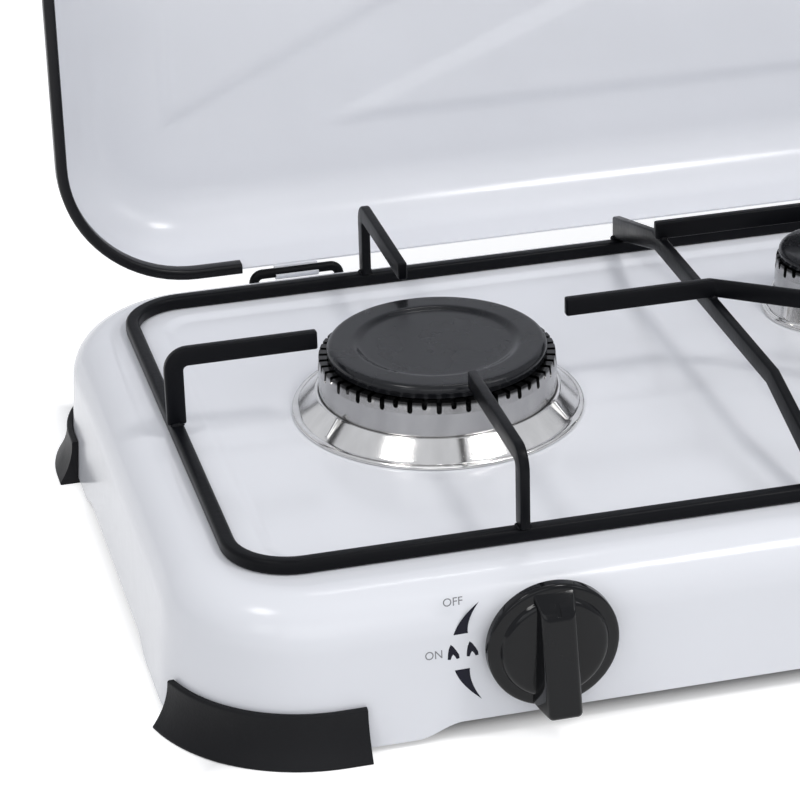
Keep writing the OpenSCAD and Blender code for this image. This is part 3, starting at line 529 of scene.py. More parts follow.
def swept(tree, line, section, real_in):
    """Ends a tree by sweeping a section along a line, with closed ends."""
    sweep = node(tree, "GeometryNodeCurveToMesh",
                 {"Curve": line, "Profile Curve": section, "Fill Caps": True})
    tree.links.new(sweep.outputs[0], real_in)


bar_tree, given, real_in = geometry_tree("bar_along_path", Width="Float", Height="Float", Edge="Float")
path = node(bar_tree, "GeometryNodeMeshToCurve", {"Mesh": given["Geometry"]})
upright = node(bar_tree, "GeometryNodeSetCurveNormal", {"Curve": path.outputs[0]}, mode="Z_UP")
square = node(bar_tree, "GeometryNodeCurvePrimitiveQuadrilateral",
              {"Width": given["Width"], "Height": given["Height"]})
soft_square = node(bar_tree, "GeometryNodeFilletCurve",
                   {"Curve": square.outputs[0], "Radius": given["Edge"], "Count": 4}, mode="POLY")
swept(bar_tree, upright.outputs[0], soft_square.outputs[0], real_in)


def joined(piece):
    """Joins doubled points and turns every face out."""
    work = bmesh.new()
    work.from_mesh(piece.data)
    bmesh.ops.remove_doubles(work, verts=work.verts, dist=1e-6)
    bmesh.ops.recalc_face_normals(work, faces=work.faces)
    work.to_mesh(piece.data)
    work.free()
    return piece


def centred(half, step):
    return even(-half, half, step)


black_enamel = skinned_finish(
    "black_enamel", (0.004, 0.0043, 0.0056), (0.75, 1.35), (0.3, 0.42), 380, 0.00006, 0.1)
reach = RING_R - RING_BAR / 2
line = [row_frame((x + nx * reach, y + ny * reach, RIM_Z + RING_BAR / 2)) for x, y, nx, ny in round_stations(
    RING_W, RING_D, RING_R, 12, centred(RING_W / 2 - RING_R, 30), centred(RING_D / 2 - RING_R, 30))]
ring = grown("grate_ring_bar", bar_tree, line, [(i, (i + 1) % len(line)) for i in range(len(line))],
             Width=RING_BAR * MM, Height=RING_BAR * MM, Edge=BAR_EDGE, Finish=black_enamel)
settle(joined(ring), black_enamel, "black_enamel", "grate_ring")

# Pan rests. Flat bars cut to length and bent on edge: an L-shaped finger with a post at the end, the front
# and the back of each large burner and at the front of the middle one, welded to the ring and enamelled.
BAR_T, BAR_H, BAR_BEND = 4.0, 8.0, 10.0
BURNER_X, END_POST, FRONT_POST = 193.5, 111.5, 128.0
WELD_R, BEADS_AT = 1.1, (-2.2, 2.2)
SIDES = (("left", -1), ("right", 1))


def softened(piece, angle, width, segments):
    """Rounds off the edges of a piece that turn by more than an angle."""
    work = bmesh.new()
    work.from_mesh(piece.data)
    edges = [e for e in work.edges if len(e.link_faces) == 2 and e.calc_face_angle() > math.radians(angle)]
    bmesh.ops.bevel(work, geom=edges, offset=width * MM, offset_type="OFFSET", segments=segments, profile=0.5,
                    affect="EDGES", clamp_overlap=True)
    bmesh.ops.recalc_face_normals(work, faces=work.faces)
    work.to_mesh(piece.data)
    work.free()
    return piece


def slab(name, outline, thick, place, soft=0.9):
    """A flat bar cut to an outline, with its edges softened; place puts (along, up, across) in the stove."""
    faces = [[place(a, b, side * thick / 2) for a, b in outline] for side in (-1, 1)]
    return softened(lofted(name, faces), 35, soft, 3)


def one_piece(name, parts):
    """Several meshes as one piece."""
    work = bmesh.new()
    for part in parts:
        work.from_mesh(part.data)
        bpy.data.objects.remove(part)
    mesh = bpy.data.meshes.new(name)
    work.to_mesh(mesh)
    work.free()
    return in_scene(name, mesh)


def arc(x, y, r, start, stop, step):
    """Points on an arc about a point, between two angles in degrees."""
    return [(x + r * c, y + r * s) for c, s in map(heading, even(start, stop, step))]


def finger(tip, post, x, turn):
    """A bar from its tip over a burner out to its post, turned about the burner's middle."""
    c, s = heading(turn)
    out = post + BAR_H / 2
    bend_x, bend_z = out - BAR_BEND, REST_Z - BAR_BEND
    outline = [(tip, REST_Z), *arc(bend_x, bend_z, BAR_BEND, 90, 0, 9), (out, RING_TOP),
               (out - BAR_H, RING_TOP), *arc(bend_x, bend_z, BAR_BEND - BAR_H, 0, 90, 18), (tip, BAR_UNDER)]
    return slab("bar", outline, BAR_T, lambda a, b, t: (x + c * a - s * t, s * a + c * t, b))


def weld(x, y, z, length, turn):
    """A low bead run along the foot of a joint, uneven as a hand lays it."""
    c, s = heading(turn)
    rows = []
    for i in range(9):
        t = i / 4 - 1
        swell = WELD_R * math.sqrt(max(0.02, 1 - t * t)) * (1 + 0.16 * math.cos(i * 2.6))
        mx, my = x + c * length * t / 2, y + s * length * t / 2
        rows.append([(mx - s * u, my + c * u, z + v) for u, v in arc(0, 0, swell, 0, 324, 36)])
    return lofted("weld_bead", rows)


def welded(name, solid, parts):
    settle(one_piece(name, parts), black_enamel, "black_enamel", solid)


for side, k in SIDES:
    bars = [finger(51, END_POST, k * BURNER_X, 0 if k > 0 else 180)]
    bars += [finger(56, FRONT_POST, k * BURNER_X, turn) for turn in (90, 270)]
    bars += [weld(k * (BURNER_X + END_POST), d, RING_TOP, 6, 0) for d in BEADS_AT]
    bars += [weld(k * BURNER_X + d, e * FRONT_POST, RING_TOP, 5, 90) for d in BEADS_AT for e in (-1, 1)]
    welded(f"pan_fingers_{side}", f"grate_fingers_{side}", bars)
centre = [finger(-9, FRONT_POST, 0, 270)] + [weld(d, -FRONT_POST, RING_TOP, 5, 90) for d in BEADS_AT]
welded("pan_finger_centre", "grate_centre_finger", centre)

# Dividers and slanted arms. An arched bar on each side of the middle burner spans the ring from front to
# back. The arms and the rear cross bar lie on the dividers, and the arms meet at the centre finger.
DIVIDER_X, CROSS_Y, ARM_DROP, ARM_END = 72.5, 66.5, 52.0, 137.5
half = BAR_T / 2
cross_end = DIVIDER_X + half + 1.5
arch = [(133, RING_TOP), (133, 79), (76, BAR_UNDER), (-76, BAR_UNDER), (-133, 79), (-133, RING_TOP),
        (-129, RING_TOP), (-72, 87), (72, 87), (129, RING_TOP)]
slant = math.atan2(ARM_DROP, DIVIDER_X)
drop = (DIVIDER_X - half) * math.tan(slant)
knee, shift = half * math.tan(slant / 2), half / math.cos(slant)
arm = [(ARM_END, half), (DIVIDER_X + knee, half), (half, shift - drop), (half, -shift - drop),
       (DIVIDER_X - knee, -half), (ARM_END, -half)]
for side, k in SIDES:
    bars = [slab("bar", arch, BAR_T, lambda a, b, t: (k * DIVIDER_X + t, a, b))]
    bars += [weld(k * DIVIDER_X + d, e, RING_TOP, 3.0, 90) for d in BEADS_AT for e in (-131, 131)]
    welded(f"grate_divider_bar_{side}", f"grate_divider_{side}", bars)
    bars = [slab("bar", arm, BAR_H, lambda a, b, t: (k * a, b, (BAR_UNDER + REST_Z) / 2 + t))]
    bars += [weld(k * x, y, BAR_UNDER, 3.6, 0) for x, y in ((DIVIDER_X, -2.4), (DIVIDER_X + 3, 2.2))]
    welded(f"grate_arm_bar_{side}", f"grate_arm_{side}", bars)
flat = [(-cross_end, BAR_UNDER), (cross_end, BAR_UNDER), (cross_end, REST_Z), (-cross_end, REST_Z)]
bars = [slab("bar", flat, BAR_T, lambda a, b, t: (a, CROSS_Y + t, b))]
bars += [weld(s * DIVIDER_X, CROSS_Y + d, BAR_UNDER, 3.6, 0) for s in (-1, 1) for d in BEADS_AT]
welded("grate_rear_cross_bar", "grate_cross_bar", bars)

# Burner bezels. Spun steel cones, polished bright, that cover the hole in the pan round each burner. Three
# thin ribs are pressed up the slope, and the outer edge is rolled.
BEZEL_H, BEZEL_RISE, RIB_RISE, RIB_W, RIB_START = 9.5, 7.5, 6.4, 2.0, 83
lathe_lines, given, gives = node_group(
    "lathe_lines",
    [("Map", "Vector", None), ("Colour", "Color", (0.8, 0.8, 0.8, 1)), ("Pitch", "Float", 9000.0),
     ("Glossiest", "Float", 0.1), ("Dullest", "Float", 0.25)],
    LOOKS,
)
along = node(lathe_lines, "ShaderNodeSeparateXYZ", {0: given["Map"]})
only_along = node(lathe_lines, "ShaderNodeCombineXYZ", {"Y": along.outputs["Y"]})
grooves = noise(lathe_lines, only_along.outputs[0], given["Pitch"], 3, 0.7)
around = node(lathe_lines, "ShaderNodeVectorMath", {0: given["Map"], 1: (34, 40, 1)}, operation="MULTIPLY")
blotches = spread(lathe_lines, noise(lathe_lines, around.outputs[0], 1.0, 3), 0.9, 1.06)
give_look(lathe_lines, gives, shaded(lathe_lines, given["Colour"], blotches),
          spread(lathe_lines, grooves, given["Glossiest"], given["Dullest"]), grooves)


def turned_finish(name, colour, gloss, pitch, depth, anisotropy, shade_band=None):
    """Metal with fine lines round its axis; the last argument gives two heights between which it goes dark,
    painted shade for the top of a wall that stands under a cap.
    """
    finish, tree, shader = blank_finish(name)
    chart = node(tree, "ShaderNodeUVMap", uv_map="lathe")
    ins = {"Map": chart.outputs[0], "Colour": (*colour, 1), "Pitch": pitch,
           "Glossiest": gloss[0], "Dullest": gloss[1]}
    look = node(tree, "ShaderNodeGroup", ins, node_tree=lathe_lines)
    dressed(tree, shader, look, depth)
    # Above the given heights the colour is painted dark: painted shade under the cap's rim.
    if shade_band:
        height = node(tree, "ShaderNodeSeparateXYZ", {0: object_place(tree)})
        cap_shade = spread(tree, height.outputs["Z"], 1.0, 0.08, shade_band[0] * MM, shade_band[1] * MM)
        tree.links.new(shaded(tree, look.outputs["Colour"], cap_shade), shader.inputs["Base Color"])
    tangent = node(tree, "ShaderNodeTangent", direction_type="UV_MAP", uv_map="lathe")
    tree.links.new(tangent.outputs[0], shader.inputs["Tangent"])
    for label, value in (("Metallic", 1.0), ("Anisotropic", anisotropy), ("Anisotropic Rotation", 0.25)):
        shader.inputs[label].default_value = value
    return finish


def worked_out(tree, operation, *values):
    return node(tree, "ShaderNodeMath", dict(enumerate(values)), operation=operation).outputs[0]


rib_tree, given, real_in = geometry_tree("ribs_round_axis", Count="Int", Start="Float", Middle="Vector")
as_one = node(rib_tree, "GeometryNodeGeometryToInstance", {0: given["Geometry"]})
ribs = node(rib_tree, "GeometryNodeDuplicateElements",
            {"Geometry": as_one.outputs[0], "Amount": given["Count"]}, domain="INSTANCE")
step = worked_out(rib_tree, "DIVIDE", 2 * math.pi, given["Count"])
angle = worked_out(rib_tree, "MULTIPLY_ADD", ribs.outputs["Duplicate Index"], step, given["Start"])
axis = node(rib_tree, "ShaderNodeCombineXYZ", {"Z": angle})
spin = node(rib_tree, "GeometryNodeRotateInstances", {
    "Instances": ribs.outputs["Geometry"], "Rotation": axis.outputs[0], "Pivot Point": given["Middle"],
    "Local Space": False})
rib_tree.links.new(spin.outputs[0], real_in)


def mapped(piece, way_round):
    """Gives a piece the lathe map that the turned finishes read: its way round, then its height."""
    chart = piece.data.uv_layers.new(name="lathe")
    for loop in piece.data.loops:
        p = piece.data.vertices[loop.vertex_index].co
        chart.data[loop.index].uv = (way_round(p), p.z)
    return piece


bezel_steel = turned_finish("bezel_steel", (0.8, 0.79, 0.775), (0.1, 0.18), 5000, 0.00001, 0.4)
for name, bx, by, _, head_r, rim in BURNERS:
    neck = head_r + 0.3
    wide = rim - neck - 3.1
    edge = [(rim - 2.2, 0), (rim - 0.5, 0), (rim, 0.4), (rim, 1.2), (rim - 0.4, 1.7), (rim - 1.0, 1.8),
            (rim - 1.5, 1.65)]
    slope = [(neck + 0.9 + wide * t, BEZEL_H - BEZEL_RISE * t) for t in (0.97, 0.9, 0.6, 0.3, 0.08, 0.03)]
    lip = [(neck + 0.75, BEZEL_H - 0.05), (neck + 0.4, BEZEL_H), (neck, BEZEL_H - 0.2), (neck, BEZEL_H - 1.8)]
    cone = lathed("cone", [(r, PAN_Z + z) for r, z in edge + slope + lip], 144, (bx, by))
    run = RIB_RISE * wide / BEZEL_RISE
    line = [(-0.5, -0.6), (run, -RIB_RISE - 0.6), (run, -RIB_RISE + 1.1), (1.2, 1.3), (-0.3, 0.9)]
    rib = slab("rib", line, RIB_W,
               lambda a, b, t: (bx + neck + 1.2 + a, by + t, PAN_Z + BEZEL_H - 0.5 + b), 0.35)
    strips = grown("ribs", rib_tree, [v.co[:] for v in rib.data.vertices],
                   faces=[tuple(p.vertices) for p in rib.data.polygons], Count=3,
                   Start=math.radians(RIB_START), Middle=row_frame((bx, by, 0)), Finish=bezel_steel)
    bpy.data.objects.remove(rib)
    bezel = one_piece(f"spun_bezel_{name}", [cone, mapped(strips, lambda p: p.x * 3)])
    settle(bezel, bezel_steel, "bezel_steel", f"burner_bezel_{name}", sharp=50)

# Burner heads. Cast aluminium cups with a turned wall. Long and short flame slots with round bottoms are
# milled in turn through the top of the wall, and a spigot reaches down through the pan into the gas tube.
HEAD_H, WALL_BASE, SLOT_W, SLOTS_DEEP = 24.5, 19.5, 2.2, (4.8, 3.0)
BORE_R, SPIGOT_R, SPIGOT_Z, FLOOR_Z = 9, 13, -8.8, 6
SLOT_PITCH = 6
# The top of each head's wall, right under the cap's rim, is painted dark as painted shade.
head_alloy = turned_finish("head_alloy", (0.45, 0.445, 0.445), (0.14, 0.26), 7000, 0.00002, 0.6,
                           (PAN_Z + HEAD_H - 2, PAN_Z + HEAD_H - 0.9))


def slot_period(r_out, r_in, count, middle):
    """One long and one short flame slot with the teeth between, as part of a ring that narrows upwards."""
    span = 2 * math.pi / count
    half = SLOT_W / 2 / r_out
    tooth = span / 4 - half
    bottom = arc(0, 0, 1, 0, 180, 22.5)
    stops = []
    for k, deep in enumerate(SLOTS_DEEP):
        centre = span * (0.25 + 0.5 * k)
        stops += [(centre - span / 4 + tooth * t, HEAD_H) for t in (0.001 * k, 0.5, 1)]
        stops += [(centre - half * c, HEAD_H - deep + SLOT_W / 2 * (1 - s)) for c, s in bottom]
        stops += [(centre + half + tooth * t, HEAD_H) for t in (0, 0.5, 1)]
    points = []
    for a, top in stops:
        r_top = r_out - 0.5 * (top - WALL_BASE) / (HEAD_H - WALL_BASE)
        for r, z in ((r_out, WALL_BASE), (r_top, top), (r_in, top), (r_in, WALL_BASE)):
            points.append(row_frame((middle[0] + r * math.cos(a), middle[1] + r * math.sin(a), PAN_Z + z)))
    faces = [(a, a + 4, a + 5, a + 1) for i in range(len(stops) - 1) for a in range(4 * i, 4 * i + 3)]
    return points, faces


for name, bx, by, cap_r, head_r, _ in BURNERS:
    head_in, middle = cap_r - 4, row_frame((bx, by, 0))
    count = round(math.pi * head_r / SLOT_PITCH)
    line = [(BORE_R, SPIGOT_Z), (SPIGOT_R - 0.6, SPIGOT_Z), (SPIGOT_R, SPIGOT_Z + 0.6), (SPIGOT_R, 0),
            (head_r, 0), (head_r, 9), (head_r, WALL_BASE), (head_in, WALL_BASE), (head_in, FLOOR_Z),
            (BORE_R, FLOOR_Z)]
    cup = lathed("cup", [(r, PAN_Z + z) for r, z in line], 4 * count, (bx, by))
    points, faces = slot_period(head_r, head_in, count, (bx, by))
    teeth = grown("teeth", rib_tree, points, faces=faces, Count=count, Start=math.pi / 2 / count,
                  Middle=middle, Finish=head_alloy)
    teeth = mapped(softened(joined(teeth), 50, 0.4, 2),
                   lambda p: math.atan2(p.y - middle[1], p.x - middle[0]) / (2 * math.pi))
    head = one_piece(f"slotted_head_{name}", [cup, teeth])
    settle(head, head_alloy, "burner_aluminium", f"burner_head_{name}", sharp=40)

# Burner caps. Pressed steel discs in gloss black enamel that lift off for cleaning. A skirt drops inside the
# head, the rim is rounded over, and a shallow round dish is pressed in the top.
CAP_H, CAP_ROUND, DISH_DEEP = 5.5, 2.6, 1.4
cap_enamel = skinned_finish(
    "cap_enamel", (0.0085, 0.009, 0.0108), (0.85, 1.25), (0.22, 0.32), 260, 0.00004, 0.16, coat=0.25)
for name, bx, by, cap_r, *_ in BURNERS:
    skirt_r, dish = cap_r - 4.3, cap_r - 13
    line = [(0, 2.1), (skirt_r - 3, 2.1), (skirt_r - 3, -4.5), (skirt_r - 2.7, -4.8), (skirt_r - 0.3, -4.8),
            (skirt_r, -4.5), (skirt_r, 0), (cap_r - 0.7, 0), (cap_r - 0.3, 0.3), (cap_r - 0.3, 1.6),
            (cap_r, 2.0)]
    line += arc(cap_r - CAP_ROUND, CAP_H - CAP_ROUND, CAP_ROUND, 0, 90, 10)
    line += [(cap_r - 4.5, CAP_H), (dish + 3.2, CAP_H)]
    line += [(dish + 2.6 - 4.4 * t, CAP_H - DISH_DEEP * eased(t)) for t in even(0.05, 1, 0.12)]
    line += [(dish - 3.2, CAP_H - DISH_DEEP), (0, CAP_H - DISH_DEEP)]
    cap = lathed(f"black_cap_{name}", [(r, PAN_Z + HEAD_H + z) for r, z in line], 128, (bx, by))
    settle(cap, cap_enamel, "black_enamel", f"burner_cap_{name}", sharp=50)

# Control knobs. Gloss black plastic, moulded in one: a skirt, hollow behind, with a stepped face, and a
# straight grip with a sloped upper end and a pointer groove. Each is pushed onto the flat of its valve stem.
KNOB_BACK, AXIS_Z = -164.7, 38.75
GRIP_HALF, GRIP_LOW, GRIP_HIGH, GRIP_ROUND = 9.0, -24.5, 25.0, 1.9
GRIP_FOOT, GRIP_TALL, GRIP_SLOPE = 2.5, 18.5, 9.5
GROOVE_W = 1.6
knob_plastic = skinned_finish(
    "knob_plastic", (0.0055, 0.0058, 0.0068), (0.85, 1.2), (0.07, 0.13), 520, 0.00001, 0.22)
disc_line = [(0, 5.4), (22.9, 2.8), (23.3, 2.0), (23.4, 0.2), (23.7, 0), (25.7, 0), (26, 0.3), (26, 3.2),
             (25.9, 3.9), (25.6, 4.4), (25.2, 4.7), (24, 4.9), (22.2, 5.1), (21.4, 5.25), (21.2, 5.55),
             (21.0, 6.0), (20.6, 6.6), (20.0, 7.1), (19.2, 7.45), (18.2, 7.6), (15, 7.75), (10, 7.9),
             (5, 7.98), (0, 8)]
boss_line = [(3.1, 0), (6.2, 0), (6.5, 0.3), (6.5, 7), (3.1, 7)]
groove_line = [(16.0, 22), (16.0, 11.4), (27.0, 2.6), (27.0, 22)]
grip_rows = []
for t, inset in ((0, 0), (0.2, 0), (0.45, 0), (0.65, 0), (0.8, 0), (0.9, 0.05), (0.94, 0.3), (0.97, 0.7),
                 (0.99, 1.2), (1, 1.8), (1, 2.8)):
    half = GRIP_HALF - 2.5 * t - inset
    low = GRIP_LOW + 1.5 * (1 - math.sqrt(1 - min(t, 0.97) ** 2)) + inset
    high = GRIP_HIGH - 8 * t ** 1.3 - inset
    r = max(0.4, GRIP_ROUND - inset * 0.6)
    loop = filleted([(-half, low, r), (half, low, r), (half, high, r * 0.6), (-half, high, r * 0.6)], 6)
    grip_rows.append([Vector((x, y, GRIP_FOOT + t * (GRIP_TALL - GRIP_SLOPE * (y + 23) / 40)))
                      for x, y in loop])
for name, bx, *_ in BURNERS:
    stand = Matrix.Translation((bx, KNOB_BACK, AXIS_Z)) @ Matrix.Rotation(math.radians(90), 4, "X")
    disc = lathed("disc", disc_line, 128, turn=stand)
    boss = lathed("boss", boss_line, 48, turn=stand)
    grip = lofted("grip", [[tuple(stand @ p) for p in row] for row in grip_rows])
    groove = slab("groove", groove_line, GROOVE_W, lambda a, b, t: tuple(stand @ Vector((t, a, b))), 0.1)
    knob = one_piece(f"moulded_knob_{name}", [disc, boss, cut_away(grip, groove)])
    settle(knob, knob_plastic, "knob_plastic", f"control_knob_{name}", body=f"knob_{name}", sharp=38)

# Dial marks. Printed on the front wall to the left of each knob and fired with the enamel: two wedges that
# show more and less flame, a pair of small flames and the words for on and off in grey.
INK_OUT, INK_IN, WORD_SIZE, WORD_WIDTH, WORD_DROP = 0.06, -0.1, 4.9, 0.92, 1.4
mark_ink = skinned_finish("mark_ink", (0.008, 0.008, 0.018), (0.8, 1.3), (0.25, 0.4), 700, 0.00001, 0.15)
word_ink = skinned_finish("word_ink", (0.22, 0.22, 0.235), (0.85, 1.15), (0.3, 0.45), 700, 0.00001)


def on_wall(x, z, out):
    """A point on the front wall at width x and height z, standing out by a hair."""
    return (x, -(END_Y + wall_at(z)) - out, z)


def bent(a, m, b, t):
    """A point on the curve from a through m to b."""
    a, m, b = Vector(a), Vector(m), Vector(b)
    return tuple((1 - t) ** 2 * a + 2 * t * (1 - t) * (m * 2 - (a + b) / 2) + t * t * b)


def crescent(tip, base_out, base_in, mid_out, mid_in):
    """The outline of a curved wedge between two bent edges."""
    left = [bent(base_out, mid_out, tip, i / 12) for i in range(13)]
    return left + [bent(base_in, mid_in, tip, i / 12) for i in reversed(range(12))]


flame = [(-2.3, -2.9), (-2.15, -0.8), (-1.75, 1.4), (-0.95, 3.2), (0.1, 2.2), (1.25, 0.4), (2.2, -1.4),
         (2.35, -2.9), (1.2, -3.1), (0.6, -1.9), (-0.1, -1.0), (-0.7, -1.9), (-1.15, -3.1)]
shapes = [crescent((-26.7, 56.7), (-37.0, 44.4), (-31.3, 44.5), (-33.2, 50.7), (-30.5, 50.2)),
          crescent((-26.8, 16.0), (-37.0, 29.6), (-31.1, 29.7), (-33.5, 22.9), (-30.3, 23.2))]
shapes += [[(cx + x, cz + z) for x, z in flame] for cx, cz in ((-37.3, 37.4), (-29.85, 37.7))]
for name, bx, *_ in BURNERS:
    marks = [lofted("mark", [[on_wall(bx + x, z, out) for x, z in shape] for out in (INK_OUT, INK_IN)])
             for shape in shapes]
    settle(one_piece(f"flame_marks_{name}", marks), mark_ink, "knob_plastic")
    words = []
    for text, cx, cz in (("OFF", -36.8, 58.1), ("ON", -44.9, 37.0)):
        curve = bpy.data.curves.new("word", "FONT")
        curve.body, curve.size, curve.align_x = text, WORD_SIZE, "CENTER"
        curve.extrude, curve.resolution_u = 0.04, 4
        holder = in_scene("word", curve)
        mesh = baked(holder)
        bpy.data.objects.remove(holder)
        points = [on_wall(bx + cx + v.co.x * WORD_WIDTH, cz + v.co.y - WORD_DROP, v.co.z + 0.01)
                  for v in mesh.vertices]
        words.append(closed_piece("word", points, [tuple(p.vertices) for p in mesh.polygons]))
    settle(one_piece(f"dial_words_{name}", words), word_ink, "bezel_steel")

# Hinge staples. Black steel rod bent to a flat U, with its legs pushed down through the back shoulder of the
# body and held by washers underneath. The lid's curled leaves turn on the straight top of the rod.
HINGE_X, HINGE_Y, HINGE_Z = 220.5, 152.5, 63.25
STAPLE_LEG, STAPLE_BEND, STAPLE_END, ROD_R = 20.0, 4.0, 46.25, 2.25
rod_tree, given, real_in = geometry_tree("rod_along_path", Radius="Float", Sides="Int")
path = node(rod_tree, "GeometryNodeMeshToCurve", {"Mesh": given["Geometry"]})
circle = node(rod_tree, "GeometryNodeCurvePrimitiveCircle",
              {"Radius": given["Radius"], "Resolution": given["Sides"]})
swept(rod_tree, path.outputs[0], circle.outputs[0], real_in)


def chain(count):
    return [(i, i + 1) for i in range(count - 1)]


turn = arc(STAPLE_LEG - STAPLE_BEND, HINGE_Z - STAPLE_BEND, STAPLE_BEND, 90, 0, 9)
half = [(0, HINGE_Z), (8, HINGE_Z), *turn, (STAPLE_LEG, 55), (STAPLE_LEG, STAPLE_END)]
staple = [(-x, z) for x, z in reversed(half[1:])] + half
for side, k in SIDES:
    line = [row_frame((k * HINGE_X + x, HINGE_Y, z)) for x, z in staple]
    rod = grown(f"staple_rod_{side}", rod_tree, line, chain(len(line)), Radius=ROD_R * MM, Sides=28,
                Finish=black_enamel)
    settle(joined(rod), black_enamel, "black_enamel", f"hinge_staple_{side}", sharp=45)


def same_form(solid, material, slot, body="stove", sharp=30):
    """A smooth-shaded copy of a solid, with its loose triangles joined, to stand for it."""
    piece = in_scene(f"{solid}_dressed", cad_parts[solid].data.copy())
    return settle(joined(piece), material, slot, solid, body=body, sharp=sharp)


same_form("staple_washers", plated_steel, "plated_steel")

# Lid. A deep-drawn tray of the same white enamelled sheet, with large soft corners. Four low triangles are
# pressed into its panel to stiffen it, and it stands open on its hinges.
LID_W, LID_D, LID_R, LID_BEND, LID_DEPTH = 650.0, 296.8, 59.0, 26.0, 45.0
LID_END_X, LID_END_Y = LID_W / 2 - LID_R, LID_D / 2 - LID_R
LID_Y, LID_EDGE = 0.9, 64.5
FIELD_DEEP, FIELD_SLOPE = 1.5, 3.5
lid_fields = []
for s in (-1, 1):
    lid_fields.append([(s * 269, -89), (s * 269, 89), (s * 72, 0)])
    lid_fields.append([(-188, s * 97), (188, s * 97), (0, s * 22)])


def pressed_in(x, y):
    """How far the panel is pressed at a point: full inside a field, with a soft slope at its edges."""
    best = -1e9
    for field in lid_fields:
        sides = [(field[i], field[(i + 1) % 3]) for i in range(3)]
        area = sum(a[0] * b[1] - b[0] * a[1] for a, b in sides)
        near = 1e9
        for (ax, ay), (bx, by) in sides:
            cross = (bx - ax) * (y - ay) - (by - ay) * (x - ax)
            near = min(near, math.copysign(1, area) * cross / math.hypot(bx - ax, by - ay))
        best = max(best, near)
    return FIELD_DEEP * eased((best + FIELD_SLOPE) / (2 * FIELD_SLOPE))


def swung_open(p):
    """From the closed lid to the open one, a quarter turn about the hinge."""
    return (p[0], HINGE_Y + p[2] - HINGE_Z, HINGE_Z - p[1] + HINGE_Y)


def lid_section(inset):
    """The lid's outline from its edge over the bend to where the panel's grid begins."""
    line = [(LID_R - inset, z) for z in (0, 0.5, 9, 17, 18.4)]
    line += arc(LID_R - LID_BEND, LID_DEPTH - LID_BEND, LID_BEND - inset, 0, 90, 90 / 16)
    return line + [(u, LID_DEPTH - inset) for u in even(31, 0, 31 / 12)]


cuts_x, cuts_y = centred(LID_END_X, 3.0), centred(LID_END_Y, 3.0)
lid_ring = round_stations(LID_W, LID_D, LID_R, 16, cuts_x, cuts_y)
stops, columns = len(lid_ring), len(cuts_x)
points, faces, bottoms = [], [], []
for inset in (0.0, SHEET):
    bottoms.append(len(points))
    rows = []
    for u, z in lid_section(inset):
        flat_part = z > LID_DEPTH - 2
        row = [(x + nx * u, y + ny * u) for x, y, nx, ny in lid_ring]
        rows.append([(x, y + LID_Y, LID_EDGE + z - flat_part * pressed_in(x, y)) for x, y in row])
    faces += skin(rows, len(points))
    points += [p for row in rows for p in row]
    grid = len(points)
    panel_z = LID_EDGE + LID_DEPTH - inset
    points += [(x, y + LID_Y, panel_z - pressed_in(x, y)) for y in cuts_y for x in cuts_x]
    for j in range(len(cuts_y) - 1):
        for a in range(grid + j * columns, grid + (j + 1) * columns - 1):
            faces.append((a, a + 1, a + columns + 1, a + columns))
outer, inner = bottoms
faces += [(outer + i, outer + (i + 1) % stops, inner + (i + 1) % stops, inner + i) for i in range(stops)]
lid = closed_piece("enamelled_lid", [swung_open(p) for p in points], faces)
settle(lid, white_enamel, "white_enamel", "lid_panel", body="lid")
for side, _ in SIDES:
    same_form(f"hinge_leaf_{side}", white_enamel, "white_enamel", body="lid")

# Lid edge trim. A black plastic channel pushed over the raw edge of the lid. It stops short of the hinges and
# is left off between them.
TRIM_IN, TRIM_UP, TRIM_STOP = 0.3, 2.4, 245.5
trim_plastic = skinned_finish(
    "trim_plastic", (0.006, 0.006, 0.0075), (0.8, 1.3), (0.28, 0.42), 600, 0.00005, 0.22)
loop = round_stations(LID_W, LID_D, LID_R, 20, centred(LID_END_X, 40), centred(LID_END_Y, 40))
run = [(x + nx * (LID_R - TRIM_IN), y + ny * (LID_R - TRIM_IN)) for x, y, nx, ny in loop]
edge_y = LID_D / 2 - TRIM_IN
rear = [i for i, (x, y) in enumerate(run) if y > edge_y - 0.01 and abs(x) < TRIM_STOP - 0.5]
run = [(-TRIM_STOP, edge_y)] + run[max(rear) + 1:] + run[:min(rear)] + [(TRIM_STOP, edge_y)]
line = [(x * MM, (y + LID_Y) * MM, (LID_EDGE + TRIM_UP) * MM) for x, y in run]
trim = grown("edge_channel", bar_tree, line, chain(len(line)), Width=0.005, Height=0.0072, Edge=BAR_EDGE,
             Finish=trim_plastic)
for v in trim.data.vertices:
    v.co = row_frame(swung_open([c / MM for c in v.co]))
settle(joined(trim), trim_plastic, "trim_plastic", "lid_edge_trim", body="lid", sharp=45)

# Gas train. Plated mixing tubes, brass valves and jets and a plated rail hang under the pan, out of sight.
# The rail runs along the front, turns back along the right end and leaves through the rear wall to the hose
# tail.
for name, *_ in BURNERS:
    same_form(f"mixing_tube_{name}", plated_steel, "plated_steel", sharp=40)
    same_form(f"burner_jet_{name}", valve_brass, "valve_brass", sharp=25)
    same_form(f"valve_body_{name}", valve_brass, "valve_brass")
    same_form(f"spring_washer_{name}", plated_steel, "plated_steel", body=f"push_{name}")
    same_form(f"valve_stem_{name}", plated_steel, "plated_steel", body=f"knob_{name}")
same_form("gas_rail", plated_steel, "plated_steel", sharp=40)
same_form("hose_tail", valve_brass, "valve_brass", sharp=25)
for side, _ in SIDES:
    same_form(f"rail_bracket_{side}", plated_steel, "plated_steel")
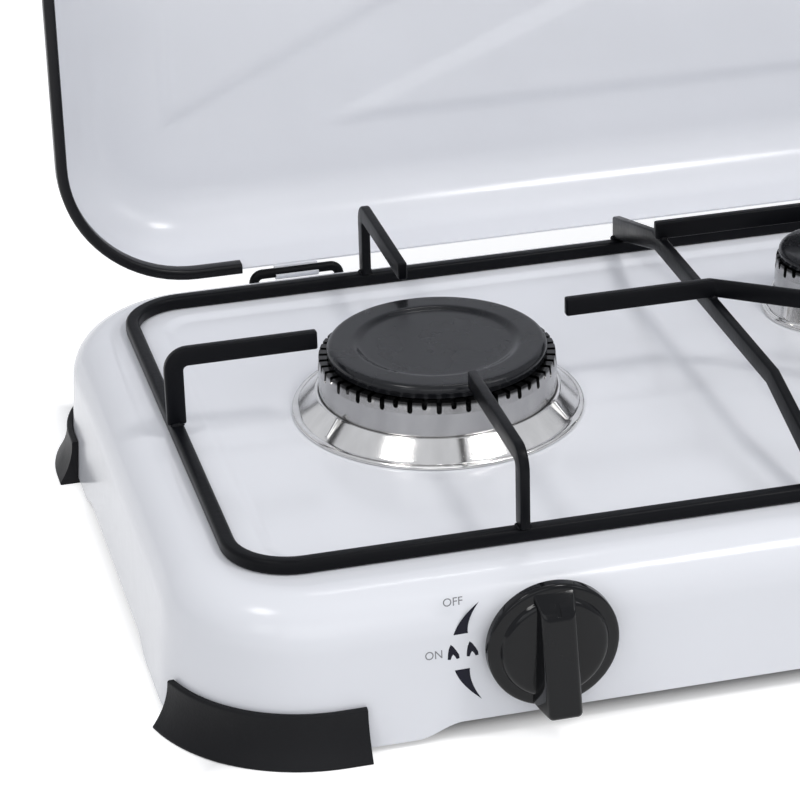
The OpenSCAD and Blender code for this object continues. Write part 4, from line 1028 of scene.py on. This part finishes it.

# Valve springs. Coils of steel wire inside the valves that push each knob back out. In the stove they shorten
# as a knob goes in; here each is wound at one fixed length.
SPRING_FRONT, SPRING_SEAT = -147.7, -141.0
coil_tree, given, real_in = geometry_tree(
    "wound_coil", Turns="Float", Radius="Float", Length="Float", Wire="Float")
helix = node(coil_tree, "GeometryNodeCurveSpiral", {
    "Resolution": 24, "Rotations": given["Turns"], "Start Radius": given["Radius"],
    "End Radius": given["Radius"], "Height": given["Length"]})
circle = node(coil_tree, "GeometryNodeCurvePrimitiveCircle", {"Resolution": 8, "Radius": given["Wire"]})
swept(coil_tree, helix.outputs[0], circle.outputs[0], real_in)
for name, bx, *_ in BURNERS:
    coil = joined(grown(f"valve_coil_{name}", coil_tree, [(0, 0, 0)], Turns=4.5, Radius=0.0057, Length=0.0061,
                        Wire=0.0005, Finish=plated_steel))
    lie = Matrix.Rotation(math.radians(-90), 4, "X")
    coil.data.transform(Matrix.Translation(row_frame((bx, SPRING_FRONT, AXIS_Z))) @ lie)
    settle(coil, plated_steel, "plated_steel", f"valve_spring_{name}")
    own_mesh(coil)

# Studio. A pale floor that glows outside the stove's footprint and is clear from below, two small soft lamps
# above, a wide one in front, others at the sides and behind, and a camera above the left end. The glow is
# left off under the stove, so the floor there is a painted shadow.
FLOOR_GLOW, FLOOR_HALF = 0.6, 6
FOOTPRINT_X, FOOTPRINT_Y = (0.318, 0.338), (0.156, 0.172)
CAMERA_AT, CAMERA_ROLL = (-0.49484, -1.186835, 0.65418), -0.0288
paper, tree, shader = blank_finish("studio_paper")
place = object_place(tree)
fleck = spread(tree, noise(tree, place, 3, 2), 0.99, 1.01)
tree.links.new(shaded(tree, (0.8, 0.8, 0.8), fleck), shader.inputs["Base Color"])
shader.inputs["Roughness"].default_value = 0.9
shader.inputs["Specular IOR Level"].default_value = 0.1
out_from = node(tree, "ShaderNodeVectorMath", {0: place}, operation="ABSOLUTE")
out_from = node(tree, "ShaderNodeSeparateXYZ", {0: out_from.outputs[0]})
# No glow over the stove's footprint, so the floor under the body is a painted shadow.
clear = worked_out(tree, "MAXIMUM", spread(tree, out_from.outputs["X"], 0.0, FLOOR_GLOW, *FOOTPRINT_X),
                   spread(tree, out_from.outputs["Y"], 0.0, FLOOR_GLOW, *FOOTPRINT_Y))
seen = tree.nodes.new("ShaderNodeLightPath").outputs
rays = worked_out(tree, "MAXIMUM", seen["Is Camera Ray"], seen["Is Glossy Ray"])
glow = node(tree, "ShaderNodeEmission", {"Strength": worked_out(tree, "MULTIPLY", rays, clear)})
both = node(tree, "ShaderNodeAddShader", {0: shader.outputs[0], 1: glow.outputs[0]})
below = node(tree, "ShaderNodeMixShader", {
    0: tree.nodes.new("ShaderNodeNewGeometry").outputs["Backfacing"], 1: both.outputs[0],
    2: tree.nodes.new("ShaderNodeBsdfTransparent").outputs[0]})
tree.links.new(below.outputs[0], tree.nodes["Material Output"].inputs[0])
mesh = bpy.data.meshes.new("studio_floor")
mesh.from_pydata([(x * FLOOR_HALF, y * FLOOR_HALF, 0) for x, y in ((-1, -1), (1, -1), (1, 1), (-1, 1))], [],
                 [(0, 1, 2, 3)])
mesh.materials.append(paper)
in_scene("studio_floor", mesh)

world = bpy.data.worlds.new("studio_air")
bpy.context.scene.world = world
world.use_nodes = True
tree = world.node_tree
tree.nodes.clear()
seen = tree.nodes.new("ShaderNodeLightPath").outputs
way = node(tree, "ShaderNodeSeparateXYZ", {0: tree.nodes.new("ShaderNodeTexCoord").outputs["Generated"]})
lit = spread(tree, worked_out(tree, "ABSOLUTE", way.outputs["X"]), 0.64, 0.28, 0.0, 1.0)
lit = spread(tree, seen["Is Glossy Ray"], lit, 0.7, 0.0, 1.0)
lit = spread(tree, seen["Is Camera Ray"], lit, 1.0, 0.0, 1.0)
tone = node(tree, "ShaderNodeMix", {
    "Factor": seen["Is Camera Ray"], "A": (0.93, 0.95, 1.0, 1), "B": (1, 1, 1, 1)}, data_type="RGBA")
sky = node(tree, "ShaderNodeBackground", {"Color": tone.outputs["Result"], "Strength": lit})
node(tree, "ShaderNodeOutputWorld", {0: sky.outputs[0]})

for name, place, aim, size, power, tint in (
    ("left_top_softbox", (-0.95, -0.33, 1.5), (-0.19, 0.0, 0.1), (0.36, 0.32), 4, (1.0, 0.99, 0.98)),
    ("right_top_softbox", (0.42, -0.62, 1.5), (0.0, 0.0, 0.1), (0.32, 0.32), 6.5, (1.0, 0.99, 0.98)),
    ("front_softbox", (-0.5, -1.75, 0.95), (0.0, 0.0, 0.15), (1.4, 1.0), 5.2, (0.98, 0.99, 1.0)),
    ("left_softbox", (-1.5, -1.3, 1.1), (0.0, 0.0, 0.1), (0.5, 0.7), 2, (0.97, 0.98, 1.0)),
    ("right_softbox", (1.4, -1.2, 1.4), (0.0, 0.0, 0.1), (0.7, 0.7), 5, (0.97, 0.98, 1.0)),
    ("rear_strip", (0.1, 0.65, 1.55), (-0.1, -0.1, 0.1), (0.35, 0.1), 1.0, (1.0, 1.0, 1.0)),
):
    lamp = bpy.data.lights.new(name, "AREA")
    lamp.shape, lamp.size, lamp.size_y = "RECTANGLE", *size
    lamp.energy, lamp.color = power, tint
    holder = in_scene(name, lamp)
    holder.location = place
    holder.rotation_euler = (Vector(aim) - Vector(place)).to_track_quat("-Z", "Y").to_euler()

yaw, pitch, roll = math.radians(13.57), math.radians(25.85), CAMERA_ROLL
ahead = Vector((math.sin(yaw), math.cos(yaw), 0))
across = Vector((math.cos(yaw), -math.sin(yaw), 0))
up = Vector((0, 0, 1))
look = math.cos(pitch) * ahead - math.sin(pitch) * up
over = math.sin(pitch) * ahead + math.cos(pitch) * up
right = math.cos(roll) * across + math.sin(roll) * over
top = -math.sin(roll) * across + math.cos(roll) * over
lens = bpy.data.cameras.new("camera")
lens.lens, lens.sensor_width, lens.sensor_fit = 144.84, 36, "HORIZONTAL"
camera = in_scene("camera", lens)
turn = Matrix((right, top, -look)).transposed().to_4x4()
camera.matrix_world = Matrix.Translation(CAMERA_AT) @ turn
bpy.context.scene.camera = camera
bpy.context.scene.view_settings.view_transform = "Standard"

bpy.context.view_layer.update()
